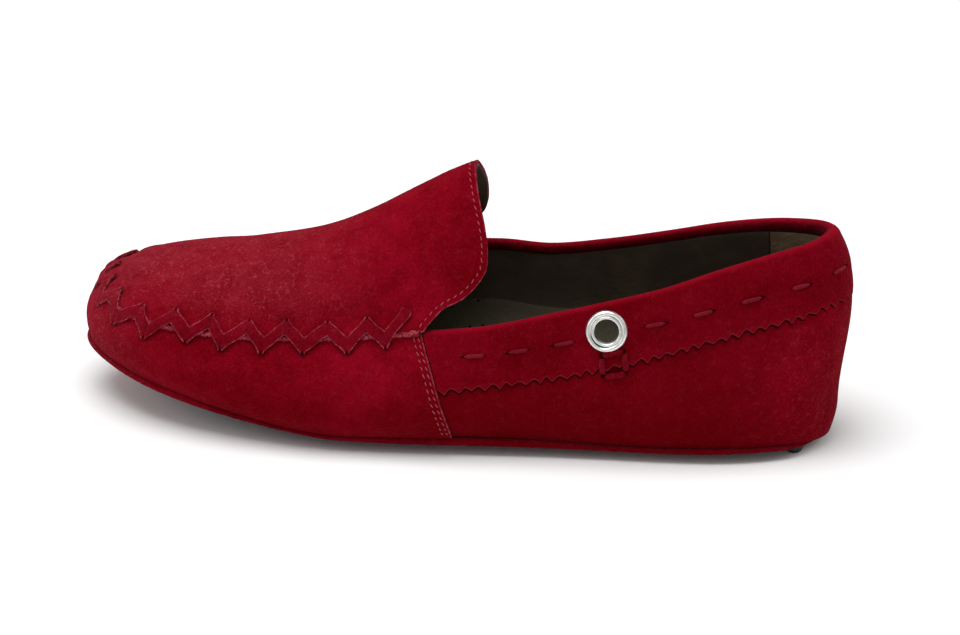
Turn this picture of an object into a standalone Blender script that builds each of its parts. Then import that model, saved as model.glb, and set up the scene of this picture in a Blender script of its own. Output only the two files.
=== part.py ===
"""A left suede loafer, built as its maker builds it: a hollow upper, a wrapped sole plate,
a cupped insole, two rubber grip pads and a two-part metal eyelet.

Metres, +Z up.  The toe points along -X, the lateral side faces -Y, and the floor is z = 0.
"""
import math
from collections import namedtuple

import bmesh
import bpy
from mathutils import Matrix, Vector

MM = 0.001

# Driving sizes, in millimetres.
WALL = 2.4                  # suede and lining of the upper together
FIT_GAP = 0.3               # clearance between pieces that touch
FOOT_HEIGHT = 7.5           # where the upper meets the sole, under heel and ball
SOLE_THICKNESS = 3.0
SOLE_MARGIN = 1.0           # how far the sole edge stands out of the upper
SOLE_ROUNDING = 0.8         # how far its edge draws in at the top and bottom
BALL_X = -45.0              # the toe spring starts here
TOE_X = -140.3
TOE_SPRING = 12.1           # how far the toe of the sole is lifted
SPRING_POWER = 1.2          # how late the toe lifts

INSOLE_THICKNESS = 3.4
INSOLE_EDGE = 3.6           # height of the insole's edge above its underside
INSOLE_CLEARANCE = 0.7      # to the wall's lining, with room for both pieces' flat faces
ARCH_CUP = 21.0             # how far the insole climbs the medial wall at the arch
ARCH_X = 32.0
ARCH_REACH = 54.0
CUP_START = 0.55            # part of the half width where the cup starts to climb
CUP_EASE = 0.3              # and how far it has climbed by then

PAD_THICKNESS = 1.2
STUD_BASE = 4.3             # radii
STUD_TIP = 2.7
STUD_SIDES = 10
STUD_BITE = 0.5             # how far a stud runs up into its pad

EYELET_RING = 7.5           # radii
EYELET_BARREL = 5.1
EYELET_HOLE = 4.65
EYELET_LIP = 1.5            # height of the ring's dome over its seat
EYELET_SEAT = 0.6           # the flat ring's lift off the curved wall
WASHER_DEPTH = 3.3          # from the wall's outer face to the washer inside
WASHER_THICKNESS = 0.9
EYELET_SIDES = 28

# Steps between table rows, and faces up each part of the upper.
STEPS = 3
WALL_FACES = 8
WALL_CROWDING = 1.5         # draws the wall's faces down towards its curved foot
APRON_FACES = 7

# The side wall all the way round, from the back of the heel by the lateral side to the toe,
# and back by the medial side.  foot is the line where it meets the sole, top is the collar's
# edge behind the throat and the apron seam in front of it, and the two bulges say how far it
# swells out of the straight line between them, at LOW_PART and HIGH_PART of the way up.
WallRow = namedtuple("WallRow", "place foot_x foot_y top_x top_y top_z low_bulge high_bulge")
WALL_ROWS = [
    WallRow("heel_back",        140.3,   0.0,  139.5,   0.0, 82.5, 2.8, 6.8),
    WallRow("lateral_heel_1",   137.8, -13.4,  136.0,  -7.5, 82.0, 3.6, 7.0),
    WallRow("lateral_heel_2",   129.8, -24.2,  128.0, -14.0, 80.5, 4.8, 7.0),
    WallRow("lateral_heel_3",   115.0, -31.0,  114.5, -20.0, 78.0, 5.0, 6.3),
    WallRow("lateral_heel_4",    98.0, -35.0,   97.0, -25.0, 73.3, 4.6, 5.4),
    WallRow("lateral_ankle",     78.0, -36.6,   77.0, -29.8, 66.7, 4.4, 4.6),
    WallRow("lateral_waist_1",   55.0, -37.2,   55.0, -31.8, 60.5, 4.4, 4.2),
    WallRow("lateral_waist_2",   33.0, -38.3,   34.0, -33.3, 55.0, 4.8, 4.2),
    WallRow("lateral_waist_3",   12.0, -40.0,   13.0, -35.0, 50.0, 5.2, 4.6),
    WallRow("lateral_throat",    -6.0, -41.6,  -10.0, -36.0, 47.0, 6.0, 5.2),
    WallRow("lateral_ball_1",   -23.0, -42.8,  -25.0, -33.4, 43.4, 6.6, 5.8),
    WallRow("lateral_ball_2",   -42.0, -43.2,  -42.0, -32.8, 41.0, 7.0, 6.4),
    WallRow("lateral_ball_3",   -62.0, -41.6,  -61.0, -34.0, 40.2, 6.4, 6.2),
    WallRow("lateral_toe_1",    -82.0, -38.2,  -79.0, -34.2, 40.0, 5.4, 5.4),
    WallRow("lateral_toe_2",   -100.0, -33.4,  -96.0, -32.0, 40.0, 4.4, 4.4),
    WallRow("lateral_toe_3",   -116.5, -25.8, -112.0, -27.0, 40.3, 3.5, 3.6),
    WallRow("lateral_toe_4",   -129.4, -15.2, -124.5, -18.6, 41.3, 3.0, 3.2),
    WallRow("lateral_toe_5",   -137.4,  -4.5, -132.3,  -7.2, 42.6, 2.8, 3.2),
    WallRow("toe_tip",         -140.0,   6.0, -134.8,   6.5, 43.4, 2.8, 3.2),
    WallRow("medial_toe_5",    -137.3,  16.5, -132.6,  18.5, 43.8, 3.2, 3.4),
    WallRow("medial_toe_4",    -128.5,  27.0, -125.5,  28.5, 43.8, 3.8, 3.8),
    WallRow("medial_toe_3",    -115.0,  35.5, -113.5,  34.8, 43.4, 4.6, 4.4),
    WallRow("medial_toe_2",     -98.0,  41.5,  -97.0,  37.6, 43.0, 5.4, 5.0),
    WallRow("medial_toe_1",     -80.0,  45.0,  -79.0,  38.2, 43.0, 6.6, 5.6),
    WallRow("medial_ball_3",    -62.0,  45.8,  -61.0,  37.0, 43.0, 7.0, 6.0),
    WallRow("medial_ball_2",    -43.0,  42.8,  -43.0,  35.5, 43.6, 7.2, 6.4),
    WallRow("medial_ball_1",    -25.0,  37.4,  -26.0,  34.8, 46.5, 7.2, 6.6),
    WallRow("medial_throat",     -8.0,  31.6,  -10.0,  36.5, 53.5, 7.4, 7.0),
    WallRow("medial_waist_3",    10.0,  27.6,   13.0,  35.2, 56.3, 7.4, 7.0),
    WallRow("medial_waist_2",    30.0,  25.6,   33.0,  33.2, 56.5, 7.2, 6.6),
    WallRow("medial_waist_1",    52.0,  28.0,   55.0,  31.6, 60.5, 6.0, 5.4),
    WallRow("medial_ankle",      76.0,  32.5,   77.0,  29.6, 66.0, 4.6, 4.8),
    WallRow("medial_heel_4",     97.0,  33.6,   97.0,  25.0, 72.5, 4.6, 5.4),
    WallRow("medial_heel_3",    114.0,  29.8,  114.5,  20.0, 77.2, 5.0, 6.3),
    WallRow("medial_heel_2",    128.8,  23.0,  128.0,  14.0, 80.2, 4.8, 7.0),
    WallRow("medial_heel_1",    137.4,  12.8,  136.0,   7.5, 82.0, 3.6, 7.0),
]
LOW_PART = 0.25
HIGH_PART = 0.60
THROAT_ROW = 9              # lateral_throat: the wall's top is the seam from here to the toe

# The apron's crown, from just behind the toe to the tongue's tip: one row for each row of the
# wall from the toe back to the throat, then one for each row of the tongue's sides.  sweep
# curves the apron's end back from the tongue's sides.
CrownRow = namedtuple("CrownRow", "x y z sweep")
CROWN_ROWS = [
    CrownRow(-114.0, 4.0,  54.6, 1.0),
    CrownRow(-112.5, 4.0,  55.1, 1.0),
    CrownRow(-108.5, 4.0,  56.2, 1.0),
    CrownRow(-100.0, 3.5,  58.2, 1.0),
    CrownRow( -89.0, 3.0,  60.6, 1.0),
    CrownRow( -75.0, 2.5,  63.2, 1.0),
    CrownRow( -59.0, 2.0,  66.6, 1.0),
    CrownRow( -43.0, 1.5,  72.0, 1.0),
    CrownRow( -27.0, 1.0,  81.2, 1.1),
    CrownRow( -12.0, 0.5,  90.8, 1.3),
    CrownRow(  -6.5, 0.3,  94.4, 1.5),
    CrownRow(  -2.0, 0.2,  97.2, 1.7),
    CrownRow(   1.5, 0.0,  99.1, 1.9),
    CrownRow(   4.8, 0.0, 100.5, 2.1),
]

CROWN_FULLNESS = 2.0        # how round the apron's arch is across the foot

# The tongue's two free edges, from the throat's corner to the lobe beside its tip.
EdgeRow = namedtuple("EdgeRow", "x y z")
LATERAL_EDGE_ROWS = [
    EdgeRow(-3.9, -34.0, 54.9),
    EdgeRow(3.5, -30.8, 59.5),
    EdgeRow(9.5, -26.5, 66.5),
    EdgeRow(12.2, -22.0, 74.0),
]
MEDIAL_EDGE_ROWS = [
    EdgeRow(-4.6, 35.2, 60.5),
    EdgeRow(2.8, 32.0, 65.5),
    EdgeRow(8.0, 28.0, 72.0),
    EdgeRow(10.0, 22.5, 79.5),
]

# Rubber pads under the forefoot and the heel, as spans along the shoe, inset from its edge.
PadRow = namedtuple("PadRow", "name back front inset")
PAD_ROWS = [
    PadRow("grip_forefoot", -14.0, -116.0, 8.0),
    PadRow("grip_heel", 136.5, 90.0, 2.5),
]
# Rows of studs across the shoe, with the y of each row's two outer studs.
StudRow = namedtuple("StudRow", "pad x lateral_y medial_y count")
STUD_ROWS = [
    StudRow("grip_forefoot", -24.0, -29.0, 25.0, 5),
    StudRow("grip_forefoot", -38.0, -30.0, 29.0, 5),
    StudRow("grip_forefoot", -52.0, -30.0, 32.0, 5),
    StudRow("grip_forefoot", -66.0, -29.0, 33.0, 5),
    StudRow("grip_forefoot", -80.0, -26.0, 32.0, 5),
    StudRow("grip_forefoot", -94.0, -21.0, 28.0, 4),
    StudRow("grip_forefoot", -107.0, -13.0, 21.0, 3),
    StudRow("grip_heel", 128.0, -19.0, 17.0, 4),
    StudRow("grip_heel", 114.0, -20.0, 19.0, 4),
    StudRow("grip_heel", 100.0, -22.0, 21.0, 4),
]
PAD_SECTIONS = 15
PAD_STRIPS = 4

# Where the eyelet sits: along the lateral collar, and its height.
EYELET_X = 56.8
EYELET_Z = 50.6

Finish = namedtuple("Finish", "colour roughness metallic")
FINISHES = {
    "red_suede": Finish((0.165, 0.003, 0.008), 0.95, 0.0),
    "sole_suede": Finish((0.130, 0.002, 0.006), 0.95, 0.0),
    "insole_leather": Finish((0.022, 0.020, 0.014), 0.70, 0.0),
    "black_rubber": Finish((0.016, 0.017, 0.016), 0.80, 0.0),
    "nickel": Finish((0.70, 0.71, 0.69), 0.25, 1.0),
}


def clear_scene():
    for item in list(bpy.data.objects):
        bpy.data.objects.remove(item, do_unlink=True)


def make_material(name):
    finish = FINISHES[name]
    material = bpy.data.materials.new(name)
    material.use_nodes = True
    shader = material.node_tree.nodes["Principled BSDF"]
    shader.inputs["Base Color"].default_value = (*finish.colour, 1.0)
    shader.inputs["Roughness"].default_value = finish.roughness
    shader.inputs["Metallic"].default_value = finish.metallic
    return material


def add_object(name, mesh, collection, material=None):
    item = bpy.data.objects.new(name, mesh)
    collection.objects.link(item)
    if material:
        mesh.materials.append(material)
    return item


def hide_as_tool(item):
    item.hide_render = True
    item.display_type = "WIRE"


def catmull(before, start, end, after, part):
    """The point part of the way from start to end, on a smooth curve through all four."""
    return 0.5 * (
        2.0 * start
        + (end - before) * part
        + (2.0 * before - 5.0 * start + 4.0 * end - after) * part ** 2
        + (3.0 * start - before - 3.0 * end + after) * part ** 3
    )


def smooth_ring(points):
    count = len(points)
    return [
        catmull(points[i - 1], points[i], points[(i + 1) % count], points[(i + 2) % count],
                step / STEPS)
        for i in range(count)
        for step in range(STEPS)
    ]


def smooth_line(points):
    """A smooth line through all the points, with STEPS spans between each two."""
    ends = [2 * points[0] - points[1], *points, 2 * points[-1] - points[-2]]
    line = [
        catmull(*ends[i:i + 4], step / STEPS)
        for i in range(len(points) - 1)
        for step in range(STEPS)
    ]
    return line + [points[-1]]


def foot_height(x):
    """Height of the line where the upper meets the sole: level, then the toe spring."""
    part = max(0.0, (BALL_X - x) / (BALL_X - TOE_X))
    return FOOT_HEIGHT + TOE_SPRING * part ** SPRING_POWER


def spring_slope(x):
    step = 0.5
    return (foot_height(x + step) - foot_height(x - step)) / (2 * step)


FOOT_RING = [
    Vector((p.x, p.y, foot_height(p.x)))
    for p in smooth_ring([Vector((row.foot_x, row.foot_y)) for row in WALL_ROWS])
]
TOP_RING = smooth_ring([Vector((row.top_x, row.top_y, row.top_z)) for row in WALL_ROWS])
BULGE_RING = smooth_ring([Vector((row.low_bulge, row.high_bulge)) for row in WALL_ROWS])
AROUND = len(FOOT_RING)
TOE = AROUND // 2
THROAT = THROAT_ROW * STEPS


def outward(i):
    """The level direction that points out of the shoe at place i of the ring."""
    along = FOOT_RING[(i + 1) % AROUND] - FOOT_RING[i - 1]
    return Vector((-along.y, along.x, 0.0)).normalized()


def wall_point(i, part):
    """The wall's outer face at place i of the ring, part of the way up it.

    A cubic through the foot, the two bulges and the top.
    """
    foot = FOOT_RING[i % AROUND]
    top = TOP_RING[i % AROUND]
    out = outward(i % AROUND)
    low, high = BULGE_RING[i % AROUND]
    knots = (0.0, LOW_PART, HIGH_PART, 1.0)
    places = (
        foot,
        foot.lerp(top, LOW_PART) + low * out,
        foot.lerp(top, HIGH_PART) + high * out,
        top,
    )
    point = Vector((0.0, 0.0, 0.0))
    for k, place in enumerate(places):
        weight = 1.0
        for other, knot in enumerate(knots):
            if other != k:
                weight *= (part - knot) / (knots[k] - knot)
        point += weight * place
    return point


def wall_normal(i, part):
    step = 0.02
    up = wall_point(i, min(1.0, part + step)) - wall_point(i, max(0.0, part - step))
    along = wall_point(i + 1, part) - wall_point(i - 1, part)
    return up.cross(along).normalized()


def inside_wall(i, part, inset):
    return wall_point(i, part) - inset * wall_normal(i, part)


def opposite(i):
    return (AROUND - i) % AROUND


def centre_place(i):
    """The place of the ring whose middle line serves place i, so both ends of the shoe fan out."""
    near_end = 2 * STEPS
    lateral = min(i, opposite(i))
    return min(max(lateral, near_end), TOE - near_end)


def middle(ring, i):
    """The middle line between the two sides of a ring."""
    j = centre_place(i)
    return ring[j].lerp(ring[opposite(j)], 0.5)


def mesh_from_columns(name, columns, closed):
    """Quads between neighbouring columns of points; points that meet are welded."""
    shape = bmesh.new()
    grid = [[shape.verts.new(point * MM) for point in column] for column in columns]
    pairs = list(zip(grid, grid[1:]))
    if closed:
        pairs.append((grid[-1], grid[0]))
    for left, right in pairs:
        for k in range(len(left) - 1):
            shape.faces.new((left[k], right[k], right[k + 1], left[k + 1]))
    return finish_mesh(name, shape)


def finish_mesh(name, shape):
    bmesh.ops.remove_doubles(shape, verts=shape.verts, dist=0.02 * MM)
    mesh = bpy.data.meshes.new(name)
    shape.to_mesh(mesh)
    shape.free()
    mesh.shade_smooth()
    return mesh


def add_solidify(item, thickness):
    """Give a skin its thickness on the inner side."""
    wall = item.modifiers.new("wall", "SOLIDIFY")
    wall.thickness = thickness * MM
    wall.offset = -1.0
    wall.use_even_offset = True


def crown_line():
    places = smooth_line([Vector((row.x, row.y, row.z)) for row in CROWN_ROWS])
    sweeps = smooth_line([Vector((row.sweep, 0.0)) for row in CROWN_ROWS])
    return [(place, sweep.x) for place, sweep in zip(places, sweeps)]


def apron_column(edge, crown, sweep):
    """Points over the foot from the apron's edge to its crown."""
    column = []
    for k in range(APRON_FACES + 1):
        left = 1.0 - k / APRON_FACES
        column.append(Vector((
            crown.x + (edge.x - crown.x) * left ** sweep,
            crown.y + (edge.y - crown.y) * left,
            crown.z + (edge.z - crown.z) * left ** CROWN_FULLNESS,
        )))
    return column


def apron_half(side):
    """The apron and tongue from the toe back, on the lateral (1) or the medial (-1) side."""
    seam = [TOP_RING[(TOE - side * k) % AROUND] for k in range(TOE - THROAT + 1)]
    rows = LATERAL_EDGE_ROWS if side > 0 else MEDIAL_EDGE_ROWS
    free = smooth_line([seam[-1], *[Vector(row) for row in rows]])
    edge = seam + free[1:]
    return [
        apron_column(point, crown, sweep)
        for point, (crown, sweep) in zip(edge, crown_line())
    ]


def build_upper(collection, tools):
    """One hollow skin: the side wall up to the collar, and the apron with its tongue."""
    shape = bmesh.new()
    wall = [
        [wall_point(i, (k / WALL_FACES) ** WALL_CROWDING) for k in range(WALL_FACES + 1)]
        for i in range(AROUND)
    ]
    # Each patch's columns run so that its faces point out of the shoe.
    patches = [(wall + wall[:1], False), (apron_half(1), True), (apron_half(-1), False)]
    for columns, flipped in patches:
        grid = [[shape.verts.new(point * MM) for point in column] for column in columns]
        for left, right in zip(grid, grid[1:]):
            for k in range(len(left) - 1):
                corners = (left[k], right[k], right[k + 1], left[k + 1])
                shape.faces.new(corners[::-1] if flipped else corners)
    bmesh.ops.reverse_faces(shape, faces=shape.faces)
    upper = add_object("upper", finish_mesh("upper", shape), collection,
                       make_material("red_suede"))
    add_solidify(upper, WALL)

    centre, turn = eyelet_frame()
    cutter = bmesh.new()
    bmesh.ops.create_cone(
        cutter, cap_ends=True, segments=EYELET_SIDES,
        radius1=(EYELET_BARREL + FIT_GAP) * MM, radius2=(EYELET_BARREL + FIT_GAP) * MM,
        depth=6 * WALL * MM, matrix=Matrix.Translation(centre * MM) @ turn,
    )
    punch = add_object("eyelet_punch", finish_mesh("eyelet_punch", cutter), tools)
    hide_as_tool(punch)
    hole = upper.modifiers.new("eyelet_hole", "BOOLEAN")
    hole.operation = "DIFFERENCE"
    hole.object = punch
    return upper


def eyelet_place():
    """The ring place and the part of the wall's height nearest the eyelet's centre."""
    choices = [
        (abs(wall_point(i, part / 50).x - EYELET_X)
         + abs(wall_point(i, part / 50).z - EYELET_Z), i, part / 50)
        for i in range(THROAT)
        for part in range(50)
    ]
    return min(choices)[1:]


def eyelet_frame():
    """The eyelet's centre on the wall's outer face, and a turn of +Z to point out of it."""
    i, part = eyelet_place()
    normal = wall_normal(i, part)
    surface = wall_point(i, part)
    centre = Vector((EYELET_X, surface.y, EYELET_Z))
    return centre, normal.to_track_quat("Z", "Y").to_matrix().to_4x4()


def build_turned(name, profile, collection):
    """A ring turned about its own Z from a profile of (radius, height), then set in the wall."""
    shape = bmesh.new()
    points = [shape.verts.new(Vector((radius, 0.0, height)) * MM) for radius, height in profile]
    edges = [shape.edges.new(pair) for pair in zip(points, points[1:] + points[:1])]
    bmesh.ops.spin(
        shape, geom=points + edges, cent=(0, 0, 0), axis=(0, 0, 1), angle=2 * math.pi,
        steps=EYELET_SIDES, use_merge=True,
    )
    bmesh.ops.recalc_face_normals(shape, faces=shape.faces)
    ring = add_object(name, finish_mesh(name, shape), collection, make_material("nickel"))
    centre, turn = eyelet_frame()
    ring.matrix_world = Matrix.Translation(centre * MM) @ turn
    return ring


def build_eyelet(collection):
    """The eyelet's domed ring and barrel from outside, and the washer it is rolled over inside."""
    back = -WASHER_DEPTH - WASHER_THICKNESS
    dome = EYELET_SEAT + EYELET_LIP
    build_turned("eyelet", [
        (EYELET_HOLE, EYELET_SEAT + 0.6 * EYELET_LIP),
        (EYELET_HOLE + 0.6, dome),
        (EYELET_RING - 1.4, dome),
        (EYELET_RING - 0.4, EYELET_SEAT + 0.7 * EYELET_LIP),
        (EYELET_RING, EYELET_SEAT),
        (EYELET_BARREL, EYELET_SEAT),
        (EYELET_BARREL, back),
        (EYELET_HOLE, back),
    ], collection)
    build_turned("eyelet_washer", [
        (EYELET_BARREL + FIT_GAP, -WASHER_DEPTH),
        (EYELET_RING, -WASHER_DEPTH),
        (EYELET_RING - 0.5, back),
        (EYELET_BARREL + FIT_GAP, back),
    ], collection)


def sole_ring(margin, drop):
    """The foot line moved out by margin and down by drop."""
    ring = []
    for i in range(AROUND):
        point = FOOT_RING[i] + margin * outward(i)
        ring.append(Vector((point.x, point.y, foot_height(point.x) - drop)))
    return ring


def middle_points(ring, i, parts):
    """Points on the way from the middle line out to the ring, at the ring's own height law."""
    centre = middle(ring, i)
    return [centre.lerp(ring[i], part) for part in parts]


def on_foot_height(point, drop):
    return Vector((point.x, point.y, foot_height(point.x) - drop))


def build_outsole(collection):
    """The sole plate, wrapped in suede, with a rounded edge that stands out of the upper."""
    top = sole_ring(SOLE_MARGIN - SOLE_ROUNDING, FIT_GAP)
    side = sole_ring(SOLE_MARGIN, FIT_GAP + 0.5 * SOLE_THICKNESS)
    bottom = sole_ring(SOLE_MARGIN - SOLE_ROUNDING, FIT_GAP + SOLE_THICKNESS)
    across = (0.0, 0.5)     # the middle line, and halfway from it to the edge
    columns = []
    for i in range(AROUND):
        upper_face = [on_foot_height(p, FIT_GAP) for p in middle_points(top, i, across)]
        lower_face = [
            on_foot_height(p, FIT_GAP + SOLE_THICKNESS)
            for p in middle_points(bottom, i, across)
        ]
        columns.append(upper_face + [top[i], side[i], bottom[i]] + lower_face[::-1])
    mesh = mesh_from_columns("outsole", columns, closed=True)
    return add_object("outsole", mesh, collection, make_material("sole_suede"))


def arch_rise(i):
    """How far the insole's edge climbs the wall: only on the medial side, round the arch."""
    point = FOOT_RING[i]
    if point.y < 0.0:
        return 0.0
    along = (point.x - ARCH_X) / ARCH_REACH
    return ARCH_CUP * max(0.0, 1.0 - along ** 2) ** 1.5


def wall_part_at(i, height):
    """The part of the wall's height that lies height above the foot line."""
    return height / (TOP_RING[i].z - FOOT_RING[i].z)


def build_insole(collection):
    """The cushioned insole inside the upper, its edge cupped up the wall at the arch."""
    clear = WALL + INSOLE_CLEARANCE
    columns = []
    rim_ring = [inside_wall(i, 0.0, clear) for i in range(AROUND)]
    low_ring = [
        on_foot_height(rim_ring[i] - FIT_GAP * outward(i), -0.1) for i in range(AROUND)
    ]
    high_ring = [
        inside_wall(i, wall_part_at(i, INSOLE_EDGE + arch_rise(i)), clear)
        for i in range(AROUND)
    ]
    for i in range(AROUND):
        low_centre = on_foot_height(middle(low_ring, i), -0.1)
        high_centre = on_foot_height(middle(high_ring, i), -INSOLE_THICKNESS)
        between = high_centre.lerp(high_ring[i], CUP_START)
        shoulder = on_foot_height(between, -INSOLE_THICKNESS).lerp(between, CUP_EASE)
        columns.append([
            high_centre, shoulder, high_ring[i], rim_ring[i], low_ring[i], low_centre,
        ])
    mesh = mesh_from_columns("insole", columns, closed=True)
    return add_object("insole", mesh, collection, make_material("insole_leather"))


def side_at(x, inset, side):
    """The sole edge's y at x, brought in by inset, on the lateral (1) or medial (-1) side."""
    half = [FOOT_RING[(TOE - side * k) % AROUND] for k in range(TOE + 1)]
    for front, back in zip(half, half[1:]):
        if front.x <= x <= back.x:
            part = (x - front.x) / (back.x - front.x)
            return front.lerp(back, part).y + side * inset
    return middle(FOOT_RING, 0 if x > 0 else TOE).y


def pad_span(pad, x, inset):
    """The pad's two edges at x, drawn together at its round ends."""
    along = 2.0 * (x - pad.front) / (pad.back - pad.front) - 1.0
    roundness = (1.0 - abs(along) ** 4) ** 0.5
    low = side_at(x, inset, 1)
    high = side_at(x, inset, -1)
    centre = 0.5 * (low + high)
    half = 0.5 * (high - low) * max(roundness, 0.25)
    return centre - half, centre + half


def pad_top(x):
    return foot_height(x) - SOLE_THICKNESS - 2 * FIT_GAP


def build_pad(pad, collection, tools):
    """A thin rubber pad under the sole, with rows of round studs that reach the floor."""
    columns = []
    for k in range(PAD_SECTIONS + 1):
        x = pad.back + (pad.front - pad.back) * 0.5 * (1 - math.cos(math.pi * k / PAD_SECTIONS))
        low, high = pad_span(pad, x, pad.inset)
        columns.append([
            Vector((x, low + (high - low) * j / PAD_STRIPS, pad_top(x)))
            for j in range(PAD_STRIPS + 1)
        ])
    mesh = mesh_from_columns(pad.name, columns, closed=False)
    mesh.flip_normals()
    plate = add_object(pad.name, mesh, collection, make_material("black_rubber"))
    add_solidify(plate, PAD_THICKNESS)

    studs = bmesh.new()
    length = pad_top(0.0) - PAD_THICKNESS + STUD_BITE
    lift = Matrix.Translation(Vector((0, 0, STUD_BITE - length / 2)) * MM)
    for row in STUD_ROWS:
        if row.pad != pad.name:
            continue
        tilt = Matrix.Rotation(-math.atan(spring_slope(row.x)), 4, "Y")
        for k in range(row.count):
            y = row.lateral_y + (row.medial_y - row.lateral_y) * k / (row.count - 1)
            root = Vector((row.x, y, pad_top(row.x) - PAD_THICKNESS))
            bmesh.ops.create_cone(
                studs, cap_ends=True, segments=STUD_SIDES, radius1=STUD_TIP * MM,
                radius2=STUD_BASE * MM, depth=length * MM,
                matrix=Matrix.Translation(root * MM) @ tilt @ lift,
            )
    stud_mesh = bpy.data.meshes.new(pad.name + "_studs")
    studs.to_mesh(stud_mesh)
    studs.free()
    group = add_object(pad.name + "_studs", stud_mesh, tools)
    hide_as_tool(group)
    joined = plate.modifiers.new("studs", "BOOLEAN")
    joined.operation = "UNION"
    joined.object = group
    return plate


def place_on_origin(upper, collections):
    """Hang every object on one empty that sets the shoe's box over the origin."""
    corners = [Vector(corner) for corner in upper.bound_box]
    centre = [(min(c[k] for c in corners) + max(c[k] for c in corners)) / 2 for k in (0, 1)]
    stand = bpy.data.objects.new("shoe_stand", None)
    stand.location = (-centre[0], -centre[1], 0.0)
    for collection in collections:
        for item in collection.objects:
            item.parent = stand
    collections[0].objects.link(stand)


def build_shoe():
    clear_scene()
    shoe = bpy.data.collections.new("suede_loafer")
    tools = bpy.data.collections.new("cutters")
    for collection in (shoe, tools):
        bpy.context.scene.collection.children.link(collection)
    upper = build_upper(shoe, tools)
    build_outsole(shoe)
    build_insole(shoe)
    for pad in PAD_ROWS:
        build_pad(pad, shoe, tools)
    build_eyelet(shoe)
    place_on_origin(upper, (shoe, tools))


build_shoe()
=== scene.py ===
import math

import bmesh
import bpy
import numpy as np
from mathutils import Matrix, Quaternion, Vector
from mathutils.bvhtree import BVHTree


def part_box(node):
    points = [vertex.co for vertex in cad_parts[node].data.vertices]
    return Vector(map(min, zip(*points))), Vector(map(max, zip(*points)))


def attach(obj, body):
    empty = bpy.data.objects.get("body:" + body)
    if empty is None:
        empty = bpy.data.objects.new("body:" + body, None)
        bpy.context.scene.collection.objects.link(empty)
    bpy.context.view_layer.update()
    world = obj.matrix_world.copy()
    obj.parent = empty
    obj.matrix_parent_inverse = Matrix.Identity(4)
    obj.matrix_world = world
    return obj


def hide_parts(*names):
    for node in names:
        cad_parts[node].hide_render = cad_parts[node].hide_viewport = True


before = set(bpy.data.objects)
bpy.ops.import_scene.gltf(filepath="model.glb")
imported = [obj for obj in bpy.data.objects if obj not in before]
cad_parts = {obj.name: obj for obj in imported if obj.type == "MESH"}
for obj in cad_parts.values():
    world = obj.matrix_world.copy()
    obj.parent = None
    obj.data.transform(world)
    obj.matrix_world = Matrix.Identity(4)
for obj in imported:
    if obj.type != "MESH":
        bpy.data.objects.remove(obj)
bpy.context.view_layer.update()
MM = 0.001


# ---- Studio ----
# A white floor, a wide softbox overhead, a weaker one from the toe side and a white room round
# them.  The camera looks down on the shoe's outer side from a little behind its middle.
LOOKED_AT = Vector((-2.6, -1.56, 42.0))
CAMERA_AZIMUTH = math.radians(4.0)
CAMERA_HEIGHT_ANGLE = math.radians(24.0)
CAMERA_ROLL = math.radians(1.7)
CAMERA_DISTANCE = 1400.0
CAMERA_LENS = 140.22
AIM_RIGHT = 8.08
AIM_DOWN = 4.14


def add_object(name, data):
    item = bpy.data.objects.new(name, data)
    bpy.context.scene.collection.objects.link(item)
    return item


def make_camera():
    back = Vector((
        math.sin(CAMERA_AZIMUTH) * math.cos(CAMERA_HEIGHT_ANGLE),
        -math.cos(CAMERA_AZIMUTH) * math.cos(CAMERA_HEIGHT_ANGLE),
        math.sin(CAMERA_HEIGHT_ANGLE),
    ))
    level = Vector((math.cos(CAMERA_AZIMUTH), math.sin(CAMERA_AZIMUTH), 0.0))
    right = Matrix.Rotation(CAMERA_ROLL, 3, back) @ level
    up = back.cross(right)
    place = LOOKED_AT + CAMERA_DISTANCE * back
    aim = LOOKED_AT + AIM_RIGHT * right - AIM_DOWN * up
    back = (place - aim).normalized()
    right = (right - right.dot(back) * back).normalized()
    up = back.cross(right)
    turn = Matrix((right, up, back)).transposed().to_4x4()
    data = bpy.data.cameras.new("camera")
    data.lens = CAMERA_LENS
    data.sensor_width = 36.0
    data.clip_start = 0.05
    data.clip_end = 60.0
    camera = add_object("camera", data)
    camera.matrix_world = Matrix.Translation(place * MM) @ turn
    bpy.context.scene.camera = camera


def make_softbox(name, place, size, power):
    data = bpy.data.lights.new(name, "AREA")
    data.shape = "DISK"
    data.size = size
    data.energy = power
    lamp = add_object(name, data)
    place = Vector(place)
    lamp.location = place
    lamp.rotation_euler = (Vector((0.0, 0.0, 0.05)) - place).to_track_quat("-Z", "Y").to_euler()


def make_room():
    world = bpy.data.worlds.new("room")
    world.use_nodes = True
    nodes = world.node_tree.nodes
    shade = nodes["Background"]
    shade.inputs["Color"].default_value = (1.0, 1.0, 1.0, 1.0)
    seen = nodes.new("ShaderNodeLightPath")
    strength = nodes.new("ShaderNodeMapRange")
    strength.inputs["To Min"].default_value = 0.50
    strength.inputs["To Max"].default_value = 1.0
    world.node_tree.links.new(seen.outputs["Is Camera Ray"], strength.inputs["Value"])
    world.node_tree.links.new(strength.outputs["Result"], shade.inputs["Strength"])
    bpy.context.scene.world = world
    bpy.context.scene.view_settings.view_transform = "Standard"


def make_floor():
    work = bmesh.new()
    bmesh.ops.create_grid(work, x_segments=4, y_segments=4, size=9.0)
    mesh = bpy.data.meshes.new("floor")
    work.to_mesh(mesh)
    work.free()
    paint = bpy.data.materials.new("floor_white")
    paint.use_nodes = True
    shader = paint.node_tree.nodes["Principled BSDF"]
    shader.inputs["Base Color"].default_value = (0.93, 0.93, 0.93, 1.0)
    shader.inputs["Roughness"].default_value = 0.9
    mesh.materials.append(paint)
    add_object("floor", mesh)


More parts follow.
